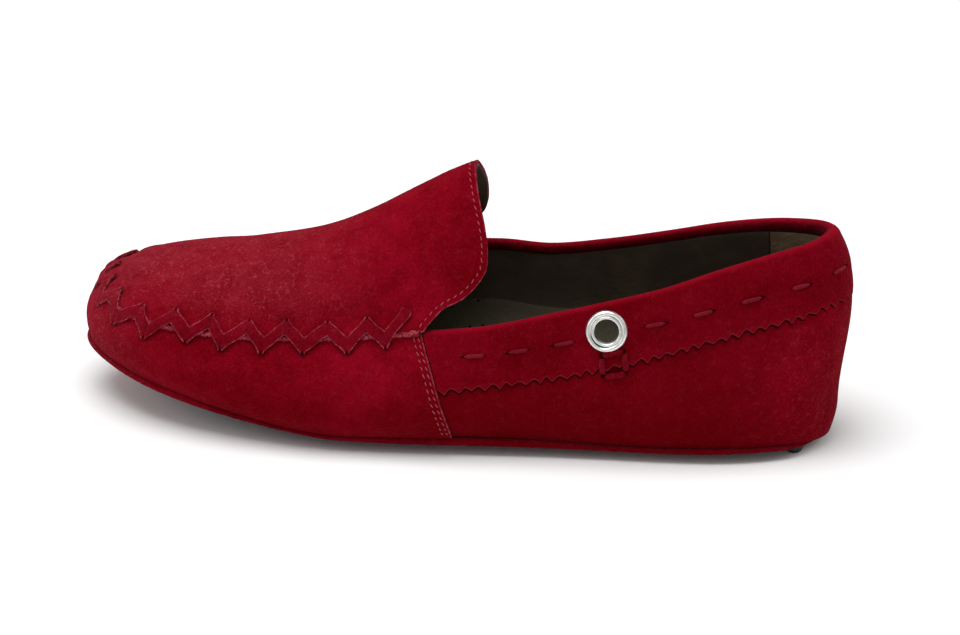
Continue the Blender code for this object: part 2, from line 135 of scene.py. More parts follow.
make_camera()
make_softbox("softbox_top", (-0.30, -0.10, 1.5), 1.3, 18.5)
make_softbox("softbox_toe", (-1.5, -0.5, 0.8), 0.9, 4.0)
make_softbox("softbox_heel", (1.3, 0.5, 0.9), 0.9, 5.2)
make_room()
make_floor()


# ---- The last ----
# A shoe is pulled over a last, so one smooth surface is made first and every sheet of suede is
# laid on it.  Its side wall runs round from the back of the heel by the outer side to the toe
# and back by the inner side; from the throat forward the apron closes it over the foot.
# foot x, foot y, top x, top y, top z, and two bulges between them, for each place round.
WALL = np.array([
    (144.9, 0.0, 139.2, 0.0, 82.5, 1.3, 5.9),
    (142.2, -13.9, 135.8, -7.5, 82.0, 2.1, 6.1),
    (131.6, -24.8, 128.0, -14.0, 80.5, 4.8, 7.0),
    (115.0, -31.0, 114.5, -20.0, 78.0, 5.0, 6.3),
    (98.0, -35.0, 97.0, -25.0, 73.3, 4.6, 5.4),
    (78.0, -36.6, 77.0, -29.8, 66.7, 4.4, 4.6),
    (55.0, -37.2, 55.0, -31.8, 60.5, 4.4, 4.2),
    (33.0, -38.3, 34.0, -33.3, 55.0, 4.8, 4.2),
    (12.0, -40.0, 13.0, -35.0, 50.0, 5.2, 4.6),
    (-6.0, -41.6, -10.0, -36.0, 47.0, 6.0, 5.2),
    (-23.0, -42.8, -25.0, -33.4, 43.4, 6.6, 5.8),
    (-42.0, -43.2, -42.0, -32.8, 41.0, 7.0, 6.4),
    (-62.0, -41.6, -61.0, -34.0, 40.2, 6.4, 6.2),
    (-82.0, -38.2, -79.0, -34.2, 40.0, 5.4, 5.4),
    (-100.0, -33.4, -96.0, -32.0, 40.0, 4.4, 4.4),
    (-116.5, -25.8, -112.0, -27.0, 40.3, 3.5, 3.6),
    (-129.4, -15.2, -124.5, -18.6, 41.3, 3.0, 3.2),
    (-137.4, -4.5, -132.3, -7.2, 42.6, 2.8, 3.2),
    (-140.0, 6.0, -134.8, 6.5, 43.4, 2.8, 3.2),
    (-137.3, 16.5, -132.6, 18.5, 43.8, 3.2, 3.4),
    (-128.5, 27.0, -125.5, 28.5, 43.8, 3.8, 3.8),
    (-115.0, 35.5, -113.5, 34.8, 43.4, 4.6, 4.4),
    (-98.0, 41.5, -97.0, 37.6, 43.0, 5.4, 5.0),
    (-80.0, 45.0, -79.0, 38.2, 43.0, 6.6, 5.6),
    (-62.0, 45.8, -61.0, 37.0, 43.0, 7.0, 6.0),
    (-43.0, 42.8, -43.0, 35.5, 43.6, 7.2, 6.4),
    (-25.0, 37.4, -26.0, 34.8, 46.5, 7.2, 6.6),
    (-8.0, 31.6, -10.0, 36.5, 53.5, 7.4, 7.0),
    (10.0, 27.6, 13.0, 35.2, 56.3, 7.4, 7.0),
    (30.0, 25.6, 33.0, 33.2, 56.5, 7.2, 6.6),
    (52.0, 28.0, 55.0, 31.6, 60.5, 6.0, 5.4),
    (76.0, 32.5, 77.0, 29.6, 66.0, 4.6, 4.8),
    (97.0, 33.6, 97.0, 25.0, 72.5, 4.6, 5.4),
    (114.0, 29.8, 114.5, 20.0, 77.2, 5.0, 6.3),
    (128.8, 23.0, 128.0, 14.0, 80.2, 4.8, 7.0),
    (141.8, 13.4, 135.8, 7.5, 82.0, 2.1, 6.1),
])
# The apron's crown from the toe back to the tongue's tip: x, y, z, and the sweep of its rows.
CROWN = np.array([
    (-114.0, 4.0, 54.6, 1.0), (-112.5, 4.0, 55.1, 1.0), (-108.5, 4.0, 56.2, 1.0),
    (-100.0, 3.5, 58.2, 1.0), (-89.0, 3.0, 60.6, 1.0), (-75.0, 2.5, 63.2, 1.0),
    (-59.0, 2.0, 67.0, 1.0), (-43.0, 1.5, 73.0, 1.0), (-27.0, 1.0, 82.3, 1.1),
    (-12.0, 0.5, 91.4, 1.3), (-6.5, 0.3, 94.7, 1.5), (-2.0, 0.2, 97.2, 1.7),
    (1.5, 0.0, 99.1, 1.9), (4.8, 0.0, 100.5, 2.1),
])
# The tongue's free edges, from the throat up to the lobe beside its tip.
OUTER_EDGE = np.array([
    (-3.9, -34.0, 54.9), (4.3, -31.0, 59.2), (10.6, -27.0, 66.2), (13.2, -22.4, 73.8),
])
INNER_EDGE = np.array([
    (-4.6, 35.2, 60.5), (2.8, 32.0, 65.5), (8.6, 28.0, 71.5), (11.6, 23.0, 79.0),
])
CENTRE = np.array((2.60, 1.56, 0.0))       # the box's centre, which is the frame's origin
WALL[:, 0:2] -= CENTRE[:2]
WALL[:, 2:5] -= CENTRE
CROWN[:, :3] -= CENTRE
OUTER_EDGE -= CENTRE
INNER_EDGE -= CENTRE
ROUND = len(WALL)
THROAT = 9                                 # place of the throat, and ROUND - THROAT inside
TOE = ROUND // 2
TIP = len(CROWN) - 1
FOOT_HEIGHT = 7.5
BALL_X = -45.0 - CENTRE[0]
TOE_REACH = 95.3
TOE_SPRING = 12.1
SPRING_POWER = 1.2
# How much more the foot line rises, at the toe and at each place away from it.
FOOT_LIFT = (2.4, 2.4, 2.3, 2.2, 1.9, 0.7, -0.4, -0.7, -0.3, 0.0)
LOW_PART = 0.25
HIGH_PART = 0.60
CROWN_EASE = 0.4                           # rounds the apron's rows where they cross the crown
ROUNDING_ROW = (12.2, 11.2)                # where the tongue's corners start to round off
TIP_FLAT = (0.80, 0.62)                    # how much of the tip is left between them


def curve_through(before, start, end, after, part):
    part = np.asarray(part)[..., None]
    return 0.5 * (
        2.0 * start + (end - before) * part
        + (2.0 * before - 5.0 * start + 4.0 * end - after) * part ** 2
        + (3.0 * start - before - 3.0 * end + after) * part ** 3
    )


def round_ring(rows, place):
    count = len(rows)
    place = np.asarray(place, float) % count
    i = np.floor(place).astype(int)
    return curve_through(rows[(i - 1) % count], rows[i % count], rows[(i + 1) % count],
                         rows[(i + 2) % count], place - i)


def on_line(rows, place):
    ends = np.vstack([2 * rows[0] - rows[1], rows, 2 * rows[-1] - rows[-2]])
    place = np.clip(np.asarray(place, float), 0.0, len(rows) - 1.0 - 1e-9)
    i = np.floor(place).astype(int)
    return curve_through(ends[i], ends[i + 1], ends[i + 2], ends[i + 3], place - i)


def sized(vectors):
    return vectors / np.linalg.norm(vectors, axis=-1, keepdims=True)


def by_toe(table, place):
    """A value looked up by how many places away the toe is."""
    return np.interp(np.abs(np.asarray(place, float) % ROUND - TOE), np.arange(len(table)), table)


def foot_line(place):
    """The line where the upper meets the sole."""
    flat = round_ring(WALL[:, :2], place)
    spring = np.maximum(0.0, (BALL_X - flat[..., :1]) / TOE_REACH) ** SPRING_POWER
    lift = by_toe(FOOT_LIFT, place)[..., None]
    return np.concatenate([flat, FOOT_HEIGHT + TOE_SPRING * spring + lift], -1)


def outward(place):
    along = foot_line(place + 0.33) - foot_line(place - 0.33)
    return sized(np.stack([-along[..., 1], along[..., 0], 0.0 * along[..., 0]], -1))


def top_line(place):
    return round_ring(WALL[:, 2:5], place)


def wall(place, part):
    """A point on the side wall, part of the way up from the sole to the collar or the seam."""
    place, part = np.broadcast_arrays(np.asarray(place, float), np.asarray(part, float))
    foot, top = foot_line(place), top_line(place)
    bulges = round_ring(WALL[:, 5:7], place)
    out = outward(place)
    knots = (0.0, LOW_PART, HIGH_PART, 1.0)
    places = (
        foot,
        foot + LOW_PART * (top - foot) + bulges[..., :1] * out,
        foot + HIGH_PART * (top - foot) + bulges[..., 1:] * out,
        top,
    )
    point = np.zeros(foot.shape)
    for k, knot in enumerate(knots):
        weight = np.ones(part.shape)
        for other in knots[:k] + knots[k + 1:]:
            weight = weight * (part - other) / (knot - other)
        point += weight[..., None] * places[k]
    return point


def wall_run(place, high=1.0, step=0.06):
    """How many mm of wall make one part of its height, just below this part."""
    return np.linalg.norm(wall(place, high) - wall(place, high - step), axis=-1) / step


def from_heel(place):
    """How many places round from the back of the heel, below nought on the inner side."""
    return (place + TOE) % ROUND - TOE


def apron_edge(row, side):
    """The apron's edge beside a row of its crown: the seam, then the tongue's free edge."""
    row = np.asarray(row, float)
    corner = top_line(float(THROAT if side < 0 else ROUND - THROAT))
    free = np.vstack([corner[None], OUTER_EDGE if side < 0 else INNER_EDGE])
    seam = top_line(TOE + side * row)
    return np.where((row <= THROAT)[..., None], seam, on_line(free, row - THROAT))


def apron(row, across):
    """A point on the apron: across is -1 at its outer edge, 0 on the crown, 1 at the inner."""
    row, across = np.broadcast_arrays(np.asarray(row, float), np.asarray(across, float))
    crown = on_line(CROWN, row)
    far = np.abs(across)
    eased = np.sqrt(far ** 2 + CROWN_EASE ** 2) - CROWN_EASE
    eased = eased / (math.sqrt(1.0 + CROWN_EASE ** 2) - CROWN_EASE)
    sweep = crown[..., 3]
    edge = np.where((across < 0.0)[..., None], apron_edge(row, -1), apron_edge(row, 1))
    step = edge - crown[..., :3]
    return crown[..., :3] + step * np.stack([
        np.where(sweep < 1.25, eased, far ** sweep), far, far ** 2,
    ], -1)


def apron_run(row, side):
    """How many mm of apron make its half width, just inside its edge."""
    return np.linalg.norm(apron(row, side) - apron(row, 0.9 * side), axis=-1) / 0.1


def moved_grid(across, along, place, work=None, cut=()):
    """A grid of quads moved to place(a, b), where a and b run from 0 to 1 over it.

    The faces next to the sides named in cut (a0, a1, b0, b1) get the sheet's second finish.
    """
    work = work or bmesh.new()
    made = bmesh.ops.create_grid(work, x_segments=across, y_segments=along, size=0.5)["verts"]
    for face in {f for v in made for f in v.link_faces}:
        a, b, _ = face.calc_center_median() + Vector((0.5, 0.5, 0.0))
        sides = {"a0": a * across, "a1": (1.0 - a) * across,
                 "b0": b * along, "b1": (1.0 - b) * along}
        if any(sides[side] < 1.0 for side in cut):
            face.material_index = 1
    spots = np.array([v.co[:2] for v in made]) + 0.5
    for corner, point in zip(made, place(spots[:, 0], spots[:, 1])):
        corner.co = Vector(point) * MM
    return work


def rounded_off(row, side):
    """How far across the sheet reaches at a row of the tongue, so that its corners are round."""
    start = np.where(side < 0.0, ROUNDING_ROW[0], ROUNDING_ROW[1])
    flat = np.where(side < 0.0, TIP_FLAT[0], TIP_FLAT[1])
    part = np.clip((row - start) / (TIP - start), 0.0, 1.0)
    return flat + (1.0 - flat) * np.sqrt(1.0 - part ** 2)


def near_line(chosen, line, reach):
    """Which of the corners chosen are within reach, in mm, of a line of points."""
    spots = np.array([v.co for v in chosen]) / MM
    apart = np.linalg.norm(spots[:, None] - line[None], axis=-1).min(axis=1)
    return [v for v, gap in zip(chosen, apart) if gap < reach]


def soften(corners, times):
    """Draws corners towards the middle of their neighbours."""
    for _ in range(times):
        moved = []
        for v in corners:
            links = v.link_edges
            middle = sum((e.other_vert(v).co for e in links), Vector()) / len(links)
            moved.append(v.co.lerp(middle, 0.5))
        for v, place in zip(corners, moved):
            v.co = place


def make_last():
    """The last's surface in mm: its corners, normals and faces."""
    work = moved_grid(ROUND * 6, 22, lambda a, b: wall(a * ROUND, b ** 1.2))
    top = moved_grid(44, TIP * 6, lambda a, b: apron(b * TIP, 2.0 * a - 1.0))
    rest = bpy.data.meshes.new("last_top")
    top.to_mesh(rest)
    top.free()
    work.from_mesh(rest)
    bmesh.ops.remove_doubles(work, verts=work.verts, dist=0.02 * MM)
    bmesh.ops.recalc_face_normals(work, faces=work.faces)
    inner = [v for v in work.verts if not v.is_boundary]
    soften(inner, 5)
    seam = top_line(np.linspace(THROAT + 0.4, ROUND - THROAT - 0.4, 400))
    soften(near_line(inner, seam, 5.5), 7)
    soften(inner, 3)
    mesh = bpy.data.meshes.new("last")
    work.to_mesh(mesh)
    work.free()
    item = add_object("last", mesh)
    finer = item.modifiers.new("finer", "SUBSURF")
    finer.levels = finer.render_levels = 2
    bpy.context.view_layer.update()
    done = item.evaluated_get(bpy.context.evaluated_depsgraph_get()).to_mesh()
    corners = np.zeros(len(done.vertices) * 3)
    done.vertices.foreach_get("co", corners)
    normals = np.zeros(len(done.vertices) * 3)
    done.vertex_normals.foreach_get("vector", normals)
    faces = [tuple(p.vertices) for p in done.polygons]
    bpy.data.objects.remove(item)
    for used in (mesh, rest):
        bpy.data.meshes.remove(used)
    return corners.reshape(-1, 3) / MM, normals.reshape(-1, 3), faces


# Soft folds of the worn suede, as lines on the wall (place, part) or the apron (row, across):
# start, end, half width and depth in mm; a depth below nought is a ridge.
WALL_FOLDS = [
    ((9.7, 0.86), (10.9, 0.30), 5.5, 0.55), ((10.3, 0.80), (11.9, 0.38), 5.0, -0.35),
    ((11.4, 0.75), (12.6, 0.25), 6.5, 0.45), ((13.8, 0.55), (15.4, 0.16), 6.0, 0.40),
    ((14.8, 0.72), (16.4, 0.40), 5.0, -0.30), ((16.6, 0.60), (17.6, 0.22), 5.0, 0.35),
    ((3.4, 0.50), (2.6, 0.12), 6.0, 0.50), ((1.9, 0.56), (1.5, 0.16), 5.0, 0.45),
    ((2.3, 0.52), (2.0, 0.14), 4.0, -0.30), ((5.6, 0.30), (7.4, 0.22), 6.0, 0.35),
    ((26.3, 0.86), (25.1, 0.30), 5.5, 0.55), ((25.7, 0.80), (24.1, 0.38), 5.0, -0.35),
    ((24.4, 0.75), (23.2, 0.25), 6.5, 0.45), ((21.8, 0.60), (20.4, 0.22), 6.0, 0.40),
    ((32.6, 0.50), (33.4, 0.12), 6.0, 0.50), ((34.2, 0.54), (34.5, 0.16), 5.0, 0.40),
    ((29.6, 0.30), (28.4, 0.22), 6.0, 0.35),
]
APRON_FOLDS = [
    ((8.3, -0.75), (8.9, -0.25), 7.0, 0.45), ((7.5, -0.80), (7.9, -0.20), 7.0, 0.40),
    ((7.9, 0.25), (8.2, 0.75), 7.0, 0.40), ((5.9, -0.55), (6.3, 0.10), 8.0, 0.35),
    ((3.2, -0.50), (4.4, -0.30), 6.0, 0.40), ((4.2, 0.20), (5.2, 0.55), 7.0, 0.40),
    ((9.7, -0.72), (11.0, -0.50), 5.0, -0.30),
]


def fold(corners, normals):
    """Moves the last's corners in at the folds and out at the ridges."""
    depth = np.zeros(len(corners))
    for surface, folds in ((wall, WALL_FOLDS), (apron, APRON_FOLDS)):
        for start, end, width, deep in folds:
            part = np.linspace(0.0, 1.0, 15)
            line = surface(start[0] + part * (end[0] - start[0]),
                           start[1] + part * (end[1] - start[1]))
            apart = np.linalg.norm(corners[:, None] - line[None], axis=-1)
            fade = np.sin(np.pi * (0.12 + 0.76 * part)) ** 0.7
            depth += deep * (fade * np.exp(-(apart / width) ** 2)).max(axis=1)
    return corners - depth[:, None] * normals


last_corners, last_normals, last_faces = make_last()
last_corners = fold(last_corners, last_normals)
last_tree = BVHTree.FromPolygons(last_corners.tolist(), last_faces)


def on_last(points, lift=0.0):
    """The points brought to the last's surface and lifted off it, and the normals there."""
    points = np.asarray(points, float)
    flat = points.reshape(-1, 3)
    found, normals = np.zeros(flat.shape), np.zeros(flat.shape)
    for i, point in enumerate(flat.tolist()):
        spot, _, face, _ = last_tree.find_nearest(point)
        ring = list(last_faces[face])
        near = 1.0 / (0.05 + np.linalg.norm(last_corners[ring] - np.array(spot), axis=1))
        found[i] = spot
        normals[i] = near @ last_normals[ring]
    normals = sized(normals).reshape(points.shape)
    found = found.reshape(points.shape)
    return found + np.asarray(lift)[..., None] * normals, normals


# ---- Vamp wall ----
# Brushed red suede, 1.3 mm thick, in one piece round the toe from side to side.  It is lasted
# over the foot, turned under at the sole, and its back edges lap over the quarters.
SUEDE = 1.3
SUEDE_DEEP = (0.126, 0.0004, 0.0029, 1.0)
SUEDE_LIT = (0.242, 0.0022, 0.0118, 1.0)
SUEDE_EDGE = (0.360, 0.060, 0.078, 1.0)
SUEDE_EDGE_DARK = (0.16, 0.010, 0.018, 1.0)
SUEDE_PAINTED_HIGHLIGHT = (0.216, 0.0120, 0.0208, 1.0)    # painted highlight over the toe's top and end
SUEDE_PAINTED_SHADE = (0.105, 0.0001, 0.0012, 1.0)   # painted shade along the quarters and low down
# Painted highlight on faces turned up, such as the collar's rolled top.
SUEDE_PAINTED_TOP_HIGHLIGHT = (0.290, 0.0040, 0.0150, 1.0)
SUEDE_FIBRE = (0.400, 0.060, 0.085, 1.0)
SEAM_PART = (0.0, 0.2, 0.375, 0.575, 0.805, 1.0)
SEAM_PLACE = (8.54, 8.66, 8.76, 8.85, 8.96, 9.05)
VAMP_LIFT = 0.15
TOE_PUFF = 0.55
FOOT_TUCK = 0.65                           # how far the suede runs down past the sole's top
FOOT_SHARE = 0.13                          # of the wall's height, which is drawn down with it


class Wire:
    """A socket of a material's nodes, so that the shader's maths reads as Python sums."""

    def __init__(self, tree, socket=None):
        self.tree = tree
        self.socket = socket

    def node(self, kind, settings=None, sockets=None, output=0):
        made = self.tree.nodes.new("ShaderNode" + kind)
        for name, value in (settings or {}).items():
            setattr(made, name, value)
        for name, value in (sockets or {}).items():
            if isinstance(value, Wire):
                self.tree.links.new(value.socket, made.inputs[name])
            else:
                made.inputs[name].default_value = value
        return Wire(self.tree, made.outputs[output])

    def maths(self, operation, first, second):
        return self.node("Math", {"operation": operation}, {0: first, 1: second})

    def __add__(self, other):
        return self.maths("ADD", self, other)

    def __mul__(self, other):
        return self.maths("MULTIPLY", self, other)

    def __sub__(self, other):
        return self.maths("SUBTRACT", self, other)

    def __rsub__(self, other):
        return self.maths("SUBTRACT", other, self)

    __radd__ = __add__
    __rmul__ = __mul__

    def noise(self, size, detail=2.0, rough=0.5):
        """Soft noise whose lumps are about this many mm across."""
        return self.node("TexNoise", {}, {
            "Vector": self, "Scale": 1.0 / (size * MM), "Detail": detail, "Roughness": rough,
        })

    def between(self, low, high):
        """0 below low, 1 above high, and a smooth rise from one to the other."""
        return self.node("MapRange", {"interpolation_type": "SMOOTHSTEP"}, {
            "Value": self, "From Min": low, "From Max": high,
        })

    def mix(self, first, second):
        return self.node("Mix", {"data_type": "RGBA"}, {0: self, 6: first, 7: second}, 2)

    def part_of(self, axis):
        return self.node("SeparateXYZ", {}, {0: self}, "XYZ".index(axis))

    def bump(self, height, normal=None):
        sockets = {"Height": self, "Strength": 1.0, "Distance": height * MM}
        if normal:
            sockets["Normal"] = normal
        return self.node("Bump", {}, sockets)


def new_finish(name, **plain):
    """A material with these plain values, a wire with its Object coordinates, and its shader."""
    paint = bpy.data.materials.new(name)
    paint.use_nodes = True
    shader = paint.node_tree.nodes["Principled BSDF"]
    for socket, value in plain.items():
        shader.inputs[socket.replace("_", " ")].default_value = value
    spot = Wire(paint.node_tree).node("TexCoord", output="Object")
    return paint, spot, shader


def connect(shader, name, wire):
    wire.tree.links.new(wire.socket, shader.inputs[name])


def make_suede(name, deep=SUEDE_DEEP, lit=SUEDE_LIT, sheen=0.11, nap=1.0, fold=0.0,
               tint=(1.0, 0.24, 0.30, 1.0)):
    """Suede: soft brush-marked patches, a fine speckled nap, a few bright loose fibres, and
    painted highlights and shade.
    """
    paint, spot, shader = new_finish(
        name, Roughness=0.95, Specular_IOR_Level=0.0, Sheen_Weight=sheen, Sheen_Roughness=0.35,
        Sheen_Tint=tint)
    patches = spot.noise(26.0, 3.0, 0.55).between(0.34, 0.68)
    strokes = spot.noise(7.0, 3.0, 0.6).between(0.30, 0.72)
    speckle = spot.noise(0.75, 3.0, 0.7)
    fine = spot.noise(0.32, 2.0, 0.6)
    strand = spot.noise(1.9, 1.0, 0.5)
    fibres = strand.between(0.43, 0.50) * (1.0 - strand.between(0.50, 0.57))
    fibres = fibres * spot.noise(3.0, 2.0, 0.7).between(0.50, 0.60)
    specks = spot.noise(0.8, 2.0, 0.7).between(0.56, 0.68)
    shade = 0.46 * patches + 0.32 * strokes - 0.02 + nap * (1.7 * speckle + 0.9 * fine - 1.15)
    colour = shade.mix(deep, lit)
    x, z = spot.part_of("X"), spot.part_of("Z")
    # Painted highlight: the toe's top and end and the lower back of the heel are made lighter and
    # pinker, and their loose fibres and specks brighter.
    front = 1.0 - x.between(-0.085, -0.020)
    toe_painted_highlight = front * z.between(0.040, 0.056) + 0.8 * (1.0 - x.between(-0.142, -0.108))
    painted_highlight_toe_and_heel = toe_painted_highlight + 0.35 * x.between(0.095, 0.135) * (1.0 - z.between(0.045, 0.060))
    with_painted_highlight = (toe_painted_highlight * (0.25 + 0.5 * strokes)).mix(colour, SUEDE_PAINTED_HIGHLIGHT)
    # Painted shade: the suede is made darker along the quarters and towards the bottom.
    flat = x.between(-0.03, 0.02) * (1.0 - x.between(0.09, 0.135))
    low = 1.0 - z.between(0.010, 0.042)
    with_painted_shade = (0.40 * flat + 0.38 * low).mix(with_painted_highlight, SUEDE_PAINTED_SHADE)
    loose = (0.05 + 0.27 * painted_highlight_toe_and_heel) * fibres + (0.05 + 0.26 * painted_highlight_toe_and_heel) * specks
    bright = loose.mix(with_painted_shade, SUEDE_FIBRE)
    # Painted highlight: faces turned up are made lighter, as much as fold says.
    up = spot.node("NewGeometry", output="Normal").part_of("Z").between(0.30, 0.95)
    connect(shader, "Base Color", (fold * up).mix(bright, SUEDE_PAINTED_TOP_HIGHLIGHT))
    height = 0.6 * speckle + 0.4 * fine
    connect(shader, "Normal", height.bump(0.42 * nap, strokes.bump(0.5)))
    return paint


def make_raw_edge(name, colour=SUEDE_EDGE):
    """The cut edge of suede: paler loose fibres, in streaks."""
    paint, spot, shader = new_finish(name, Roughness=0.95, Specular_IOR_Level=0.0)
    streaks = spot.noise(0.8, 3.0, 0.7)
    breaks = spot.noise(2.6, 2.0, 0.6).between(0.42, 0.58)
    tone = streaks.between(0.36, 0.62) * (0.15 + 0.85 * breaks)
    connect(shader, "Base Color", tone.mix(SUEDE_EDGE_DARK, colour))
    connect(shader, "Normal", streaks.bump(0.4))
    return paint


def finish_piece(name, work, paints, node=None, thickness=None, bevel=None):
    """Makes a piece of the mesh, gives it its sheet's thickness and fixes it to the shoe."""
    bmesh.ops.remove_doubles(work, verts=work.verts, dist=0.004 * MM)
    mesh = bpy.data.meshes.new(name)
    work.to_mesh(mesh)
    work.free()
    mesh.shade_smooth()
    for paint in paints:
        mesh.materials.append(paint)
    item = add_object(name, mesh)
    if thickness:
        sheet = item.modifiers.new("sheet", "SOLIDIFY")
        sheet.thickness = thickness * MM
        sheet.offset = -1.0
        sheet.material_offset_rim = len(paints) - 1
    if bevel:
        edge = item.modifiers.new("edge", "BEVEL")
        edge.width = bevel * MM
        edge.segments = 2
        edge.limit_method = "ANGLE"
        edge.angle_limit = math.radians(50.0)
    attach(item, "root")
    if node:
        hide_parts(node)
    return item


def face_out(work):
    """Turns a sheet's faces to the outside of the last."""
    work.normal_update()
    faces = work.faces[:]
    outer = on_last([face.calc_center_median() / MM for face in faces])[1]
    if sum(f.calc_area() * f.normal.dot(Vector(n)) for f, n in zip(faces, outer)) < 0.0:
        bmesh.ops.reverse_faces(work, faces=faces)


def lay_sheet(name, across, along, place, paints, node=None, thickness=None, bevel=None,
              cut=()):
    """Makes a piece of one whole sheet, laid over the last."""
    work = moved_grid(across, along, place, cut=cut)
    face_out(work)
    finish_piece(name, work, paints, node, thickness, bevel)


def seam_place(part):
    """Where the vamp's back edge crosses the outer side; the inner side mirrors it."""
    return np.interp(part, SEAM_PART, SEAM_PLACE)


def smooth_step(value):
    value = np.clip(value, 0.0, 1.0)
    return value * value * (3.0 - 2.0 * value)


# Where the apron's lacing goes through: distance along the seam from the throat on the outer
# side, and how far below (wall) or above (apron) the seam each hole is.
WALL_HOLES = [
    (14.6, 4.9), (28.8, 6.2), (44.9, 6.1), (59.8, 6.3), (74.5, 6.0), (87.8, 4.9), (103.7, 6.8),
    (118.6, 6.9), (132.1, 6.2), (145.6, 6.0), (159.1, 6.2), (172.6, 6.2), (187.5, 6.0),
    (203.4, 6.2), (216.7, 6.0), (231.4, 6.3), (246.3, 6.1), (262.4, 6.2), (276.6, 5.2),
]
APRON_HOLES = [
    (6.9, 9.6), (21.7, 7.4), (36.6, 6.7), (52.1, 7.3), (66.1, 7.0), (80.8, 7.8), (95.8, 7.8),
    (110.4, 6.0), (125.8, 6.6), (139.0, 7.0), (152.2, 7.0), (165.4, 6.8), (178.6, 6.4),
    (195.4, 7.4), (210.4, 7.4), (225.1, 7.0), (239.1, 7.3), (254.6, 6.7), (269.5, 7.4),
    (284.3, 9.2),
]
LACE_WIDTH = 4.4


def arcs_along(points):
    """Distances along a line of points, from its start."""
    return np.concatenate([[0.0], np.cumsum(np.linalg.norm(np.diff(points, axis=0), axis=1))])


seam_places = np.linspace(THROAT, ROUND - THROAT, 1801)
seam_arcs = arcs_along(top_line(seam_places))


def by_seam(distance, height):
    """A point this far along the apron seam, and this far up the apron or down the wall."""
    distance, height = np.broadcast_arrays(np.asarray(distance, float),
                                           np.asarray(height, float))
    place = np.interp(distance, seam_arcs, seam_places)
    low = wall(place, 1.0 + np.minimum(height, 0.0) / wall_run(place))
    row = np.abs(place - TOE)
    side = np.sign(place - TOE + 1e-9)
    high = apron(row, side * (1.0 - np.maximum(height, 0.0) / apron_run(row, side)))
    return np.where((height > 0.0)[..., None], high, low)


hole_half = 0.5 * LACE_WIDTH * math.sqrt(2.0)
wall_hole_points = by_seam(*np.array([(l, -h + 0.5 * hole_half) for l, h in WALL_HOLES]).T)
apron_hole_points = by_seam(*np.array([(l, h - 0.5 * hole_half) for l, h in APRON_HOLES]).T)


def pulled_in(points, holes, depth, width):
    """How far the suede is drawn in round the lacing's holes."""
    apart = np.linalg.norm(points[:, None] - holes[None], axis=-1)
    return depth * np.exp(-(apart / width) ** 2).max(axis=1)


def at_foot(part):
    """One where the wall meets the sole, nothing from a little way up it."""
    return np.clip(1.0 - part / FOOT_SHARE, 0.0, 1.0) ** 2


def vamp_place(a, b):
    part = b ** 1.1
    start = seam_place(part)
    reach = np.abs(2.0 * a - 1.0)
    half = TOE - start
    place = TOE + np.sign(a - 0.5) * half * (1.0 - (1.0 - reach) ** 1.08)
    points = wall(place, part)
    toe_puff = TOE_PUFF * np.exp(-((place - TOE) / 2.6) ** 2) * smooth_step(part / 0.8)
    lift = VAMP_LIFT + toe_puff - pulled_in(points, wall_hole_points, 0.75, 3.0)
    point = on_last(points, lift)[0]
    point[:, 2] -= FOOT_TUCK * at_foot(part)
    return point


suede = make_suede("red_suede")
raw_edge = make_raw_edge("suede_cut_edge")
lay_sheet("vamp_wall", 400, 54, vamp_place, [suede, raw_edge], "upper", SUEDE, 0.25,
          cut=("a0", "a1"))


# ---- Quarters ----
# One piece of the same suede round the heel, from under the vamp's outer edge to under its
# inner edge.  It stops under the collar band; the heel's closing seam is a shallow line.
UNDER_VAMP = 0.42
QUARTER_LIFT = -1.15
QUARTER_TOP = 0.95
BACK_SEAM = 0.45
HEEL_TURN = 2.4
HEEL_RISE = 0.5
COVER_PLACE = (0.0, 1.0, 2.0, 3.0, 4.2, 5.0, 6.0, 7.0, 8.2)
COVER = (2.7, 2.7, 2.4, 1.9, 1.7, 2.0, 1.7, 0.5, 0.0)
BACK_SEAM_WIDTH = 0.07                     # in places round the shoe
eyelet_low, eyelet_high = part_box("eyelet")
eyelet_middle = np.array((eyelet_low + eyelet_high) / 2.0) / MM
eyelet_point, eyelet_normal = on_last(eyelet_middle[None])
eyelet_point, eyelet_normal = eyelet_point[0], eyelet_normal[0]
EYELET_CUT = 5.6                           # radius of the hole, and how deep it reaches
EYELET_REACH = 12.0


def cut_eyelet_hole(work):
    """Takes the faces round the eyelet's barrel out of a sheet."""
    inside = []
    for face in work.faces:
        step = np.array(face.calc_center_median()) / MM - eyelet_point
        off_axis = step - step.dot(eyelet_normal) * eyelet_normal
        if np.linalg.norm(off_axis) < EYELET_CUT and abs(step.dot(eyelet_normal)) < EYELET_REACH:
            inside.append(face)
    bmesh.ops.delete(work, geom=inside, context="FACES")


def heel_rise(place):
    """How far the quarters stand out at the heel, nearly flush with the band's edge."""
    return HEEL_RISE * np.exp(-(place / 2.2) ** 2)


def heel_share(place):
    """One round the back of the heel, nothing from the quarters on."""
    return np.exp(-(from_heel(place) / 2.1) ** 4)


def heel_turn(place, part):
    """How far the back of the heel curves in just above the sole."""
    return heel_share(place) * HEEL_TURN * np.clip(1.0 - part / 0.09, 0.0, 1.0) ** 2


def sole_covered(place):
    """How far the quarters come down over the sole's edge."""
    return np.interp(np.abs(from_heel(place)), COVER_PLACE, COVER)


def quarter_place(a, b):
    part = QUARTER_TOP * b ** 1.1
    start = seam_place(part) + UNDER_VAMP
    place = -start + a * 2.0 * start
    groove = BACK_SEAM * np.exp(-(place / BACK_SEAM_WIDTH) ** 2)
    lift = QUARTER_LIFT + heel_rise(place) - groove - heel_turn(place, part)
    point = on_last(wall(place, part), lift)[0]
    point[:, 2] -= (sole_covered(place) + FOOT_TUCK) * at_foot(part)
    return point


work = moved_grid(340, 46, quarter_place)
face_out(work)
cut_eyelet_hole(work)
finish_piece("quarters", work, [suede], None, SUEDE - 0.1)


